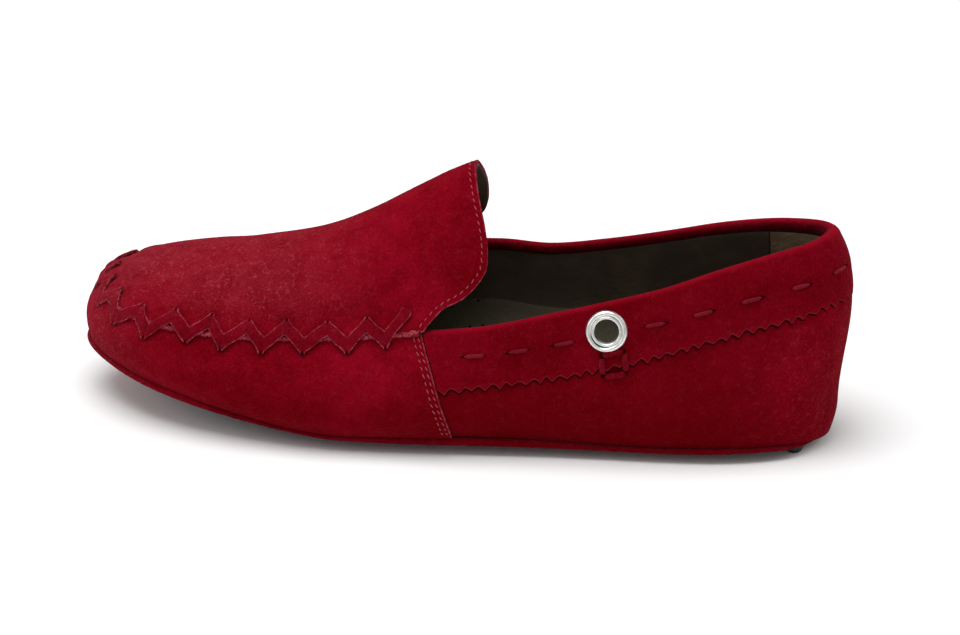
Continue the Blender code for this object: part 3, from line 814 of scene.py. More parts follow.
# ---- Apron and tongue ----
# The top of the shoe and its tongue are one sheet of suede.  Its cut edge laps a little over
# the vamp wall and is laced down to it; the tongue's edge is left raw above the throat.
APRON_LAP = 0.5
APRON_EDGE_LIFT = 1.0
APRON_LIFT = 0.10
APRON_COLUMNS = 104
CUT_COLUMNS = 2
CUT_COLUMN = 0.5                           # mm across, for the columns along the cut edge


def apron_lift(row, apart):
    """The apron's height over the last: near its edge it rides up on the turned vamp edge."""
    seamed = smooth_step((9.6 - row) / 0.6)
    return APRON_LIFT + (APRON_EDGE_LIFT - APRON_LIFT) * smooth_step(1.0 - apart / 8.0) * seamed


def apron_place(a, b):
    row = TIP * b
    across = 2.0 * a - 1.0
    side = np.where(across < 0.0, -1.0, 1.0)
    reach = rounded_off(row, side)
    from_edge = (1.0 - np.abs(across)) * APRON_COLUMNS / 2.0
    lap = APRON_LAP * smooth_step((8.9 - row) / 0.8)
    edge_height = np.minimum(from_edge, CUT_COLUMNS) * CUT_COLUMN - lap
    inner = np.maximum(from_edge - CUT_COLUMNS, 0.0) / (APRON_COLUMNS / 2.0 - CUT_COLUMNS)
    start = np.minimum(reach - edge_height / apron_run(row, side), reach + 1.0)
    inside = np.clip(start * (1.0 - inner), 0.0, 1.0)
    points = apron(row, side * inside)
    place = TOE + side * row
    lapped = wall(place, 1.0 + np.minimum(edge_height, 0.0) / wall_run(place))
    over = (edge_height < 0.0) & (row < 9.0) & (inner <= 0.0)
    points = np.where(over[:, None], lapped, points)
    edge = apron_edge(row, -1) * (side < 0)[:, None] + apron_edge(row, 1) * (side > 0)[:, None]
    apart = np.linalg.norm(points - edge, axis=1)
    lift = apron_lift(row, apart) - pulled_in(points, apron_hole_points, 0.8, 3.0)
    return on_last(points, lift)[0]


work = moved_grid(APRON_COLUMNS, TIP * 9, apron_place, cut=("a0", "a1", "b1"))
crown_start = Vector(apron(0.0, 0.0)) * MM
crowded = [v for v in work.verts if (v.co - crown_start).length < 2.5 * MM]
bmesh.ops.remove_doubles(work, verts=crowded, dist=0.4 * MM)
face_out(work)
finish_piece("apron_and_tongue", work, [suede, raw_edge], None, SUEDE, 0.22)


# ---- Collar band ----
# A band of suede with a pinked lower edge is turned over the collar and down inside it, over
# a little padding at the heel.  It runs from the vamp's edge round the heel to the other side.
BAND_PLACE = (-0.01, 0.79, 1.69, 2.49, 3.32, 4.03, 4.75, 5.36, 6.0, 6.67, 7.36, 8.23, 9.1)
BAND_PART = (0.69, 0.69, 0.70, 0.675, 0.66, 0.64, 0.62, 0.59, 0.56, 0.53, 0.52, 0.505, 0.475)
TOOTH_PITCH = 4.95
TOOTH_DEPTH = 1.95
COLUMNS_PER_TOOTH = 8
BAND_LIFT = 0.12
BAND_THICKNESS = 1.1
ROLL_RADIUS = 2.1
HEEL_ROLL = 0.75                           # how much thicker the roll is at the heel
TURNED_IN = 3.0
# A near-black strip of painted shadow shows this far below the teeth, and is this wide.
SHADOW_STRIP_SHOWN = 1.2
SHADOW_STRIP_WIDTH = 3.0
INSIDE_DEPTH = 2.1                         # past this the band is in the shade of the collar, painted darker
TUCK = 2.2                                 # how far its inner edge tucks in behind the lining
BAND_ROWS = 44
ROLL_START = 0.62
ROLL_END = 0.88


def band_part(place):
    return np.interp(np.abs(place), BAND_PLACE, BAND_PART)


def roll_radius(place):
    return ROLL_RADIUS + HEEL_ROLL * np.exp(-(place / 3.2) ** 2)


def collar_frame(place):
    """The collar's top edge: a point a roll's radius below it, its normal and the way up."""
    radius = roll_radius(place)
    part = 1.0 - (radius - 0.4 - 0.7 * np.exp(-(place / 3.0) ** 2)) / wall_run(place)
    spot, normal = on_last(wall(place, part))
    up = sized(wall(place, 1.0) - wall(place, 0.94))
    up = sized(up - (up * normal).sum(-1, keepdims=True) * normal)
    return part, spot, normal, up


band_end = float(seam_place(0.475)) - 0.02
band_places = np.linspace(-band_end, band_end, 2001)
band_arcs = arcs_along(wall(band_places, band_part(band_places)))
TEETH = round(band_arcs[-1] / TOOTH_PITCH)


def band_spread(a, part):
    """Places for even teeth, leaning at the ends so that the band stays behind the vamp."""
    place = np.interp(a * band_arcs[-1], band_arcs, band_places)
    lean = (seam_place(part) - 0.02 - band_end) * smooth_step(np.abs(place) - band_end + 1.0)
    return place + np.sign(place) * lean


def tooth_rise(a):
    """The pinked edge along the band: sharp teeth, rounder notches, none quite the same."""
    count = a * TEETH
    far = np.abs(2.0 * ((count + 0.07 * np.sin(2.3 * count)) % 1.0) - 1.0)
    tooth = 0.45 * far + 0.55 * np.sin(0.5 * np.pi * far) - 0.55
    return tooth * (1.0 + 0.24 * np.sin(1.7 * count) + 0.14 * np.sin(4.1 * count))


def band_place(a, b):
    low = band_part(np.interp(a * band_arcs[-1], band_arcs, band_places))
    tooth = tooth_rise(a)
    place = band_spread(a, low)
    top_part, spot, normal, up = collar_frame(band_spread(a, 0.96))
    radius = roll_radius(place)
    edge = low + tooth * TOOTH_DEPTH / wall_run(place, low, 0.1)
    rise = np.clip(b / ROLL_START, 0.0, 1.0) ** 1.15
    part = edge + (top_part - edge) * rise
    swell = 0.35 * np.sin(np.pi * np.clip((rise - 0.35) / 0.65, 0.0, 1.0))
    curl = 0.45 * smooth_step(1.0 - rise / 0.12) * (0.7 - tooth)
    swell = swell + curl - (curl + 0.4) * np.exp(-(place / 2.0) ** 2) * (1.0 - rise)
    outer = on_last(wall(band_spread(a, part), part), BAND_LIFT + swell)[0]
    turn = np.clip((b - ROLL_START) / (ROLL_END - ROLL_START), 0.0, 1.0) * np.pi
    core = spot + (BAND_LIFT - radius)[:, None] * normal
    rolled = core + radius[:, None] * (
        np.cos(turn)[:, None] * normal + np.sin(turn)[:, None] * up)
    down = np.clip((b - ROLL_END) / (1.0 - ROLL_END), 0.0, 1.0)
    rolled = rolled - (TURNED_IN * down)[:, None] * up + (TUCK * down ** 3)[:, None] * normal
    return np.where((b <= ROLL_START)[:, None], outer, rolled)


def shadow_strip_place(a, b):
    """A near-black strip under the pinked edge: painted shadow, which shows as a dark line along
    the teeth.
    """
    low = band_part(np.interp(a * band_arcs[-1], band_arcs, band_places))
    place = band_spread(a, low)
    shown = SHADOW_STRIP_SHOWN * (1.0 - 0.6 * np.exp(-(place / 2.4) ** 2))
    height = tooth_rise(a) * TOOTH_DEPTH - shown + SHADOW_STRIP_WIDTH * b
    part = low + height / wall_run(place, low, 0.1)
    lift = QUARTER_LIFT + 0.35 + 0.5 * heel_rise(place)
    return on_last(wall(band_spread(a, part), part), lift)[0]


# The strip's colour is painted shadow, nearly black.
shadow_strip_paint = make_suede("band_painted_shadow_strip", (0.020, 0.0002, 0.0010, 1.0), (0.050, 0.0010, 0.0030, 1.0))
lay_sheet("band_painted_shadow_strip", TEETH * COLUMNS_PER_TOOTH, 2, shadow_strip_place, [shadow_strip_paint])

work = moved_grid(TEETH * COLUMNS_PER_TOOTH, BAND_ROWS, band_place, cut=("b0",))
face_out(work)
# Faces deep inside the collar take the band's darker copy: painted shade.
for face in work.faces:
    middle = face.calc_center_median() / MM
    spot, normal = on_last([middle])
    if (Vector(spot[0]) - middle).dot(Vector(normal[0])) > INSIDE_DEPTH:
        face.material_index = 2
cut_eyelet_hole(work)
# fold gives the band's faces turned up a painted highlight.
band_suede = make_suede("band_suede", deep=(0.115, 0.0003, 0.0030, 1.0),
                        lit=(0.215, 0.0018, 0.0110, 1.0), fold=0.4)
# A darker copy of the band's suede: painted shade inside the collar, with a painted highlight on
# faces turned up as fold says.
band_inside_painted_shade = make_suede("band_inside_painted_shade", deep=(0.030, 0.0003, 0.0016, 1.0),
                         lit=(0.062, 0.0014, 0.0045, 1.0), fold=0.5)
band_edge = make_raw_edge("band_cut_edge", (0.185, 0.0120, 0.0210, 1.0))
band = finish_piece("collar_band", work, [band_suede, band_edge, band_inside_painted_shade], None,
                    BAND_THICKNESS, 0.2)
band.modifiers["sheet"].material_offset_rim = 0


# ---- Linings ----
# Thin dark brown leather lines the sides and the underside of the apron; a grip of paler
# suede, brushed side in, is sewn round the heel with a plain upright seam at each end.
LINING_LIFT = -2.42
LINING = 0.4
GRIP_END = 3.0


def make_leather(name, deep, lit, grain=1.0):
    """Thin smooth leather: cloudy colour, a fine pebbled grain and soft handling marks."""
    paint, spot, shader = new_finish(name, Specular_IOR_Level=0.3)
    cloud = spot.noise(18.0, 3.0, 0.6).between(0.32, 0.70)
    pebble = spot.node("TexVoronoi", {"feature": "SMOOTH_F1"}, {
        "Vector": spot, "Scale": 1.0 / (1.1 * MM)})
    fine = spot.noise(0.6, 2.0, 0.6)
    connect(shader, "Base Color", (0.7 * cloud + 0.3 * fine).mix(deep, lit))
    connect(shader, "Roughness", 0.62 + 0.16 * fine)
    connect(shader, "Normal", (pebble + 0.5 * fine).bump(0.16 * grain))
    return paint


def collar_padding(place, part):
    """How far the collar's padding pushes what lines it inwards, near the top of the wall."""
    deep = 2.0 * roll_radius(place) - BAND_LIFT - BAND_THICKNESS - 0.2
    return np.maximum((deep + LINING_LIFT) * smooth_step((part - 0.45) / 0.45), 0.0)


def lining_place(a, b):
    place = a * ROUND
    collar = np.minimum(place, ROUND - place)
    behind = smooth_step((9.4 - collar) / 0.5)
    part = b * (1.0 - 0.055 * behind)
    heel = np.where(place > ROUND / 2.0, place - ROUND, place)
    inside = LINING_LIFT - collar_padding(heel, part) * behind - heel_turn(place, part)
    return on_last(wall(place, part), inside)[0]


lining_leather = make_leather("lining_leather", (0.050, 0.034, 0.022, 1.0),
                              (0.090, 0.064, 0.042, 1.0))
work = moved_grid(260, 34, lining_place)
face_out(work)
cut_eyelet_hole(work)
finish_piece("side_lining", work, [lining_leather], None, LINING)


def apron_lining_place(a, b):
    row = (TIP - 0.09) * b
    trim = 1.0 - 0.018 * smooth_step((row - 8.6) / 0.6)
    across = (2.0 * a - 1.0) * trim
    points = apron(row, across * rounded_off(row, across))
    pulled = pulled_in(points, apron_hole_points, 0.8, 3.0)
    return on_last(points, APRON_LIFT - SUEDE - 0.15 - pulled)[0]


lay_sheet("tongue_lining", 60, TIP * 6, apron_lining_place, [lining_leather],
          thickness=0.5)


def grip_place(a, b):
    place = -GRIP_END + a * 2.0 * GRIP_END
    part = 0.12 + b * 0.83
    inside = LINING_LIFT - LINING - 0.04 - collar_padding(place, part)
    return on_last(wall(place, part), inside)[0]


grip_suede = make_suede("grip_suede", (0.155, 0.112, 0.066, 1.0), (0.240, 0.180, 0.110, 1.0),
                        0.10, 0.7, tint=(0.9, 0.85, 0.7, 1.0))
grip_edge = make_leather("grip_edge", (0.010, 0.007, 0.004, 1.0), (0.024, 0.017, 0.010, 1.0))
lay_sheet("heel_grip", 150, 34, grip_place, [grip_suede, grip_edge],
          thickness=0.5, bevel=0.15, cut=("a0", "a1"))


# ---- Insole ----
# A moulded sock of dark leather, cupped up under the arch and round the heel.  Small holes are
# punched through it in pairs under the forefoot and the waist.
SOCK_GRAIN = 1.3
HOLE_PITCH = 5.0
HOLE_ROWS = 7.0
HOLE_RADIUS = 0.55
SOCK_THICKNESS = 1.6
SOCK_LIFT = -2.95
SOCK_FLOOR = 2.2                           # above the line of the foot
SOCK_FAR_EDGE = (0.25, 0.25, 0.26, 0.30, 0.41, 0.46, 0.42, 0.34, 0.29, 0.27, 0.26)
SOCK_NEAR_EDGE = (0.25, 0.25, 0.22, 0.20, 0.20, 0.20, 0.22, 0.24, 0.26, 0.27, 0.26)
SOCK_EDGE_PLACE = (18.0, 14.0, 12.5, 11.0, 9.5, 8.0, 6.5, 5.0, 3.5, 2.0, 0.0)


def sock_place(a, b):
    """Across the sock from its outer edge to its inner edge, which rises up the arch."""
    side = 2.0 * a - 1.0
    place = 0.35 + b * (TOE - 0.7)
    tables = [np.interp(place, SOCK_EDGE_PLACE[::-1], part[::-1])
              for part in (SOCK_NEAR_EDGE, SOCK_FAR_EDGE)]
    foot = (foot_line(place) + foot_line(ROUND - place)) / 2.0
    height = np.abs(side) ** np.where(side < 0.0, 5.0, 3.4)
    base = 0.05
    inside = SOCK_LIFT - HEEL_TURN * (1.0 - height) * heel_share(place)
    near, _ = on_last(wall(place, base + (tables[0] - base) * height), inside)
    far, _ = on_last(wall(ROUND - place, base + (tables[1] - base) * height), inside)
    point = near + ((side + 1.0) / 2.0)[:, None] * (far - near)
    edge = np.where(side < 0.0, near[:, 2], far[:, 2])
    floor = foot[:, 2] + SOCK_FLOOR
    point[:, 2] = floor + np.maximum(edge - floor, 0.0) * np.abs(side) ** 0.5
    return point


def make_painted_shade(name):
    """Painted shade for the inside of a hole, a slit or a groove: near-black, like unlit leather
    fibres.
    """
    paint, spot, shader = new_finish(name, Roughness=1.0, Specular_IOR_Level=0.0)
    fibres = spot.noise(0.5)
    connect(shader, "Base Color", fibres.mix((0.010, 0.0006, 0.0010, 1.0),
                                             (0.030, 0.0020, 0.0030, 1.0)))
    return paint


sock_leather = make_leather("sock_leather", (0.046, 0.037, 0.019, 1.0),
                            (0.076, 0.063, 0.034, 1.0), SOCK_GRAIN)
work = moved_grid(64, 150, sock_place)
work.normal_update()
if sum(face.normal.z for face in work.faces) < 0.0:
    bmesh.ops.reverse_faces(work, faces=work.faces)
sock_tree = BVHTree.FromBMesh(work)
finish_piece("insole_sock", work, [sock_leather], "insole", SOCK_THICKNESS, 0.4)

# The punched holes are drawn as dark discs of painted shade, laid just over the sock.
hole_painted_shade = make_painted_shade("hole_painted_shade")
work = bmesh.new()
for row in range(-4, 6):
    for column in range(-13, 7):
        if column % 3 == 2:
            continue
        start = Vector((column * HOLE_PITCH + 2.5 * (row % 2), row * HOLE_ROWS, 60.0)) * MM
        spot, normal, _, _ = sock_tree.ray_cast(start, Vector((0.0, 0.0, -1.0)))
        if spot is None or normal.z < 0.45:
            continue
        turn = normal.to_track_quat("Z", "Y").to_matrix().to_4x4()
        bmesh.ops.create_circle(work, cap_ends=True, segments=10, radius=HOLE_RADIUS * MM,
                                matrix=Matrix.Translation(spot + 0.06 * MM * normal) @ turn)
finish_piece("insole_holes", work, [hole_painted_shade])


# ---- Sole ----
# A thin flexible plate wrapped in the same suede: its rounded edge shows as a welt under the
# upper, which is cemented to it.  Its suede is a darker red, and darker still low down from the
# painted shade that every suede gets there.
SOLE_TOP = -0.35                           # heights from the line of the foot
SOLE_BOTTOM = -3.4
SOLE_MARGIN = 1.25
HEEL_MARGIN = -4.1                         # the heel's curve hides the sole's edge
# How far the sole's underside rises at its edge, at the toe and at each place away from it.
EDGE_LIFT = (3.0, 2.9, 2.8, 2.3, 1.7, 1.3, 1.0, 0.5, 0.1, 0.0)
PAD_FRONT = -118.0                         # in front of this the whole underside rises


def sole_place(a, b):
    """Over the sole's top from its middle line, round its edge and back underneath."""
    place = a * ROUND
    foot = foot_line(place)
    near = np.clip(np.minimum(place, ROUND - place), 2.0, TOE - 2.0)
    middle = (foot_line(near) + foot_line(ROUND - near)) / 2.0
    out = outward(place)
    top = SOLE_TOP - sole_covered(place)
    radius = 0.5 * (top - SOLE_BOTTOM)
    turn = np.clip((b - 0.32) / 0.36, 0.0, 1.0) * np.pi
    flat_part = np.clip(np.minimum(b, 1.0 - b) / 0.32, 0.0, 1.0)
    margin = SOLE_MARGIN + (HEEL_MARGIN - SOLE_MARGIN) * heel_share(place)
    edge = foot + (margin - radius)[:, None] * out
    inner = middle + (edge - middle) * flat_part[:, None]
    spring = np.maximum(0.0, (BALL_X - inner[:, :1]) / TOE_REACH) ** SPRING_POWER
    inner[:, 2:] = FOOT_HEIGHT + TOE_SPRING * spring
    point = inner + (radius * np.sin(turn))[:, None] * out
    near_edge = smooth_step((flat_part - 0.5) / 0.5)
    clear = np.maximum(near_edge, smooth_step((PAD_FRONT - inner[:, 0]) / 15.0))
    above = by_toe(FOOT_LIFT, place) * near_edge
    below = by_toe(EDGE_LIFT, place) * clear
    high, low = top + above, SOLE_BOTTOM + below
    point[:, 2] += 0.5 * (high + low) + 0.5 * (high - low) * np.cos(turn)
    return point


sole_suede = make_suede("sole_suede", (0.105, 0.0006, 0.0040, 1.0), (0.220, 0.0040, 0.0150, 1.0),
                        0.12, 1.1)
work = moved_grid(420, 36, sole_place)
bmesh.ops.remove_doubles(work, verts=work.verts, dist=0.01 * MM)
bmesh.ops.recalc_face_normals(work, faces=work.faces)
finish_piece("sole_wrap", work, [sole_suede], "outsole")


# ---- Rubber pads ----
# Two pads of dark rubber with short studs, moulded in one piece each.  They are cemented under
# the forefoot and the heel, and the shoe stands on their studs.
def make_rubber():
    paint, spot, shader = new_finish("stud_rubber", Specular_IOR_Level=0.4)
    dust = spot.noise(4.0, 3.0, 0.6).between(0.42, 0.75)
    fine = spot.noise(0.5, 2.0, 0.5)
    connect(shader, "Base Color", dust.mix((0.012, 0.013, 0.012, 1.0),
                                           (0.040, 0.042, 0.040, 1.0)))
    connect(shader, "Roughness", 0.58 + 0.25 * dust)
    connect(shader, "Normal", fine.bump(0.12))
    return paint


def repaint(node, paint):
    for mat_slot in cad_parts[node].material_slots:
        mat_slot.material = paint


rubber = make_rubber()
repaint("grip_forefoot", rubber)
repaint("grip_heel", rubber)


# ---- Eyelet ----
# A polished nickel eyelet is pressed through the outer side of the collar: a domed flange, a
# fine groove, and the rolled rim of its barrel, which is set over a washer inside.
EYELET_PROFILE = (
    (4.65, -3.6), (4.62, 0.2), (4.75, 1.05), (5.05, 1.42), (5.38, 1.25), (5.54, 0.80),
    (5.60, 0.30), (5.80, 0.22), (5.90, 0.75), (6.04, 1.38), (6.45, 1.62), (7.00, 1.42),
    (7.34, 0.95), (7.48, 0.35), (7.44, 0.05), (7.28, -0.15),
)
EYELET_TURNS = 72
GROOVE = (5.58, 5.84)                      # the floor of the groove, from the axis in mm
GROOVE_OPENS = ((4.15, 1.5, 0.62), (1.05, 2.1, 0.26))  # towards, how sharply, how much
FLANGE_START, FLANGE_END = 5.7, 7.3        # the flange gives way between these, from the axis
FLANGE_GIVES = 0.85                        # of the gap, at its start
RIM_GIVES = 0.15


def make_nickel():
    paint, spot, shader = new_finish("polished_nickel", Metallic=1.0)
    marks = spot.noise(2.2, 4.0, 0.7)
    hairlines = spot.noise(0.35, 2.0, 0.5)
    connect(shader, "Base Color", marks.between(0.35, 0.7).mix((0.74, 0.74, 0.71, 1.0),
                                                              (0.84, 0.84, 0.82, 1.0)))
    connect(shader, "Roughness", 0.30 + 0.08 * marks.between(0.4, 0.75))
    connect(shader, "Normal", hairlines.bump(0.0012))
    return paint


def groove_gap(step):
    """How much wider the groove is than its narrowest, in the direction of a step."""
    at = math.atan2(step.z, step.x)
    gap = 0.0
    for towards, sharp, much in GROOVE_OPENS:
        away = abs((at - towards + math.pi) % (2.0 * math.pi) - math.pi)
        gap += much * math.cos(min(away * sharp, math.pi / 2.0))
    return gap


nickel = make_nickel()
groove_painted_shade = make_painted_shade("groove_painted_shade")
work = bmesh.new()
turn = Vector(eyelet_normal).to_track_quat("Z", "Y").to_matrix().to_4x4()
stand = Matrix.Translation(Vector(eyelet_point) * MM) @ turn
profile = [work.verts.new((r * MM, 0.0, z * MM)) for r, z in EYELET_PROFILE]
edges = [work.edges.new(pair) for pair in zip(profile, profile[1:])]
bmesh.ops.spin(work, geom=profile + edges, cent=(0.0, 0.0, 0.0), axis=(0.0, 0.0, 1.0),
               angle=2.0 * math.pi, steps=EYELET_TURNS, use_merge=True)
bmesh.ops.transform(work, matrix=stand, verts=work.verts)
bmesh.ops.remove_doubles(work, verts=work.verts, dist=0.005 * MM)
for face in work.faces:
    step = face.calc_center_median() / MM - Vector(eyelet_point)
    if step.length > 6.5 and face.normal.dot(Vector(eyelet_normal)) < -0.2:
        bmesh.ops.reverse_faces(work, faces=work.faces)
        break
flat = Matrix.Identity(3) - Matrix([Vector(eyelet_normal) * k for k in eyelet_normal])
# Where the groove opens wide its faces get painted shade.
for face in work.faces:
    step = flat @ (face.calc_center_median() / MM - Vector(eyelet_point))
    if GROOVE[0] < step.length < GROOVE[1] + 0.04 and groove_gap(step) > 0.02:
        face.material_index = 1
for corner in work.verts:
    step = flat @ (corner.co / MM - Vector(eyelet_point))
    away = -RIM_GIVES * smooth_step((step.length - 4.9) / 0.6)
    if step.length > FLANGE_START:
        away = FLANGE_GIVES * (FLANGE_END - step.length) / (FLANGE_END - FLANGE_START)
    corner.co += step.normalized() * max(away, -RIM_GIVES) * groove_gap(step) * MM
eyelet = finish_piece("eyelet_ring", work, [nickel, groove_painted_shade], "eyelet", 0.35)
rounder = eyelet.modifiers.new("rounder", "SUBSURF")
rounder.levels = rounder.render_levels = 1
repaint("eyelet_washer", nickel)


# ---- Apron lacing ----
# A flat suede lace joins the apron to the vamp wall in one long zigzag.  It goes down through
# a slit at each turn, so every leg arches a little between two slits.
LACE_THICKNESS = 1.0
EDGE_WIDTH = 1.8                           # of the vamp's cut edge, turned up between the legs
LACE_STAND = 0.82
LACE_CROWN = 0.25
LACE_ARCH = 0.22
LACE_CREASE = 0.18
FREE_REACH = 1.3
FREE_SQUARE = 0.55                         # how far a free end leans to be cut square
NOTCH = 0.75                               # half the gap that opens at each turn's point
SLIT_LENGTH = 1.7
SLIT_WIDTH = 0.9
UNDER_SLIT = (1.5, 1.6)                    # painted shade under each apron turn, along and across


def under_lace(height):
    """How far the suede under the lace stands off the last, up from the vamp to the apron."""
    return np.interp(height, (-12.0, -3.2, -1.0, 1.0, 7.0, 14.0),
                     (0.15, 0.2, 0.95, 0.9, 0.15, 0.1))


def lay_leg(work, start, end, wobble, free=False):
    """One leg of the zigzag, cut off upright so that its neighbours mitre to it, or round."""
    start_out, end_out = (1.0, -1.0) if start[1] > end[1] else (-1.0, 1.0)
    forward = math.copysign(1.0, end[0] - start[0])
    if free:
        start = (start[0] - FREE_REACH * forward, start[1] + 2.0 * FREE_REACH)
    run = end[0] - start[0]

    def leg_place(a, b):
        side = 2.0 * b - 1.0
        side = np.sign(side) * np.abs(side) ** 0.72
        half = hole_half * (1.0 + 0.05 * np.sin(9.0 * a + wobble))
        if free:
            half = half * (1.0 - 0.98 * np.clip(1.0 - a / 0.16, 0.0, 1.0) ** 3) ** 0.5
        notch = (NOTCH * (np.maximum(0.0, start_out * side) ** 2.5 - 0.12) * (1.0 - a) ** 6
                 - NOTCH * (np.maximum(0.0, end_out * side) ** 2.5 - 0.12) * a ** 6)
        square = FREE_SQUARE * half * side * (1.0 - a) ** 2 if free else 0.0
        distance = start[0] + a * run + forward * (notch + square)
        height = start[1] + a * (end[1] - start[1]) + half * side - 0.9 * square
        ends = np.minimum(a, 1.0 - a)
        dip = LACE_CREASE * (1.0 - smooth_step((ends + 0.01) / 0.09))
        lift = under_lace(height) + LACE_STAND + LACE_CROWN * (1.0 - side ** 2)
        lift = lift + LACE_ARCH * np.sin(np.pi * a) - dip
        return on_last(by_seam(distance, height), lift)[0]
    moved_grid(18, 10, leg_place, work, cut=("b0", "b1"))


def edge_place(a, b):
    distance = 1.5 + a * (seam_arcs[-1] - 3.0)
    ragged = 0.18 * np.sin(1.9 * distance) + 0.12 * np.sin(4.3 * distance + 1.0)
    tuft = np.exp(-((distance - 3.4) / 1.8) ** 2)
    height = EDGE_WIDTH * (1.0 + 0.35 * tuft) * (b - 0.5) - 0.35 + ragged
    lift = APRON_EDGE_LIFT + 0.12 + (0.16 + 0.9 * tuft) * np.sin(np.pi * b) + 0.5 * ragged * b
    return on_last(by_seam(distance, height), lift)[0]


lay_sheet("seam_cut_edge", 420, 3, edge_place, [raw_edge], thickness=0.4)

wall_turns = [(l, -h + hole_half) for l, h in WALL_HOLES]
apron_turns = [(l, h - hole_half) for l, h in APRON_HOLES]
work = bmesh.new()
for i, low in enumerate(wall_turns):
    lay_leg(work, apron_turns[i], low, 1.3 * i, i == 0)
    if i + 1 < len(wall_turns):
        lay_leg(work, low, apron_turns[i + 1], 2.1 * i + 0.7)
lay_leg(work, apron_turns[-1], wall_turns[-1], 0.7, True)
face_out(work)
lace_suede = make_suede("lace_suede", (0.110, 0.0006, 0.0040, 1.0), (0.195, 0.0030, 0.0120, 1.0),
                        0.13, 1.0)
finish_piece("apron_lacing", work, [lace_suede, raw_edge], None, LACE_THICKNESS, 0.12)


def lay_slit(work, spot, normal, along, length, width):
    """A slit drawn as painted shade: a little dark oval facing out of the suede."""
    along = Vector(along)
    normal = Vector(normal)
    along = (along - along.dot(normal) * normal).normalized()
    turn = Matrix((along, normal.cross(along), normal)).transposed().to_4x4()
    grow = Matrix.Diagonal((length / 2.0, width / 2.0, 1.0, 1.0))
    bmesh.ops.create_circle(work, cap_ends=True, segments=12, radius=MM,
                            matrix=Matrix.Translation(Vector(spot) * MM) @ turn @ grow)


# The slits at the lacing's turns and under the apron's turns are dark ovals of painted shade.
work = bmesh.new()
for holes, out in ((wall_turns, -1.0), (apron_turns, 1.0)):
    for distance, height in holes:
        outer = height + out * (hole_half - 0.6)
        spot, normal = on_last(by_seam(distance, outer)[None], under_lace(outer) + 0.45)
        above = by_seam(distance, outer + 1.0) - by_seam(distance, outer - 1.0)
        open_part = 0.55 + 0.45 * abs(math.sin(0.13 * distance + out))
        lay_slit(work, spot[0], normal[0], above, SLIT_LENGTH * open_part, SLIT_WIDTH * open_part)
for distance, _ in APRON_HOLES[1:-1]:
    spot, normal = on_last(by_seam(distance, 1.2)[None], APRON_EDGE_LIFT + 0.05)
    above = by_seam(distance, 2.0) - by_seam(distance, 1.0)
    lay_slit(work, spot[0], normal[0], above, *UNDER_SLIT)
finish_piece("lacing_slits", work, [hole_painted_shade])


# ---- Collar thong ----
# A narrower thong of duller suede runs in and out round the collar band in long even stitches;
# below the eyelet a short one is laced in a square that tacks the band's lower edge down.
STITCH_PLACE = (0.99, 2.29, 3.39, 4.30, 5.12, 5.92, 6.66, 7.44, 8.20)
STITCH_PART = (0.845, 0.830, 0.815, 0.805, 0.805, 0.800, 0.775, 0.770, 0.775)
EYELET_STITCH = 5.92                       # the eyelet takes this stitch's place
HOLE_LENGTH = 9.7                          # each stitch fills a leaf-shaped cut, drawn as painted shade
HOLE_WIDTH = 1.6
THONG_PULLED = 0.4                         # towards the eyelet, which bares one end
THONG_LENGTH = 7.9
THONG_WIDTH = 1.6
THONG_CROWN = 0.95
THONG_DULL = (0.150, 0.0060, 0.0140, 1.0)
THONG_PALE = (0.240, 0.0190, 0.0340, 1.0)
TACK_CORNERS = ((5.985, 0.655), (5.625, 0.671), (5.575, 0.520), (5.935, 0.512))
TACK_WIDTH = 2.2
TACK_STAND = 1.15
TACK_BOW = 0.2
TACK_GAP = 0.10                            # left free at the ends of its two upright bars
TACK_HOLES = (1.9, 1.4, 1.4, 1.9)


def stitch_line(place):
    return wall(place, np.interp(np.abs(place), STITCH_PLACE, STITCH_PART))


def lay_leaf(work, middle, along, length, width, lift, blunt, crown=0.0):
    """A leaf shape laid over the suede, domed by its crown and more or less blunt."""
    normal = on_last(middle[None])[1][0]
    along = sized(along)
    across = np.cross(normal, along)

    def leaf_place(a, b):
        t, side = 2.0 * a - 1.0, 2.0 * b - 1.0
        half = 0.5 * width * np.maximum(0.02, 1.0 - np.abs(t) ** blunt)
        points = middle + (0.5 * length * t)[:, None] * along + (half * side)[:, None] * across
        dome = crown * (1.0 - t ** 4) * (1.0 - side ** 4)
        return on_last(points, lift + dome)[0]
    moved_grid(14, 6 if crown else 2, leaf_place, work)


def lay_thong(work, start, end, base):
    """A strip of thong that comes out of one hole, lies on the suede and goes in at another."""
    normal = on_last(((start + end) / 2.0)[None])[1][0]
    across = np.cross(normal, sized(end - start))

    def thong_place(a, b):
        side = 2.0 * b - 1.0
        taper = (1.0 - np.abs(2.0 * a - 1.0) ** 5) ** 0.5 * 0.55 + 0.45
        middle = start + a[:, None] * (end - start)
        middle = middle + (TACK_BOW * np.sin(np.pi * a))[:, None] * across
        points = middle + (side * TACK_WIDTH / 2.0 * taper)[:, None] * across
        ends = np.minimum(a, 1.0 - a)
        dip = (TACK_STAND + 0.9) * (1.0 - smooth_step((ends + 0.02) / 0.16))
        return on_last(points, base + TACK_STAND - 0.45 * side ** 2 - dip)[0]
    moved_grid(14, 8, thong_place, work)


thong_suede = make_suede("thong_suede", THONG_DULL, THONG_PALE, 0.10, 1.1)
tack_suede = make_suede("tack_suede", (0.125, 0.0010, 0.0060, 1.0), (0.235, 0.0090, 0.0210, 1.0),
                        0.10, 1.1)
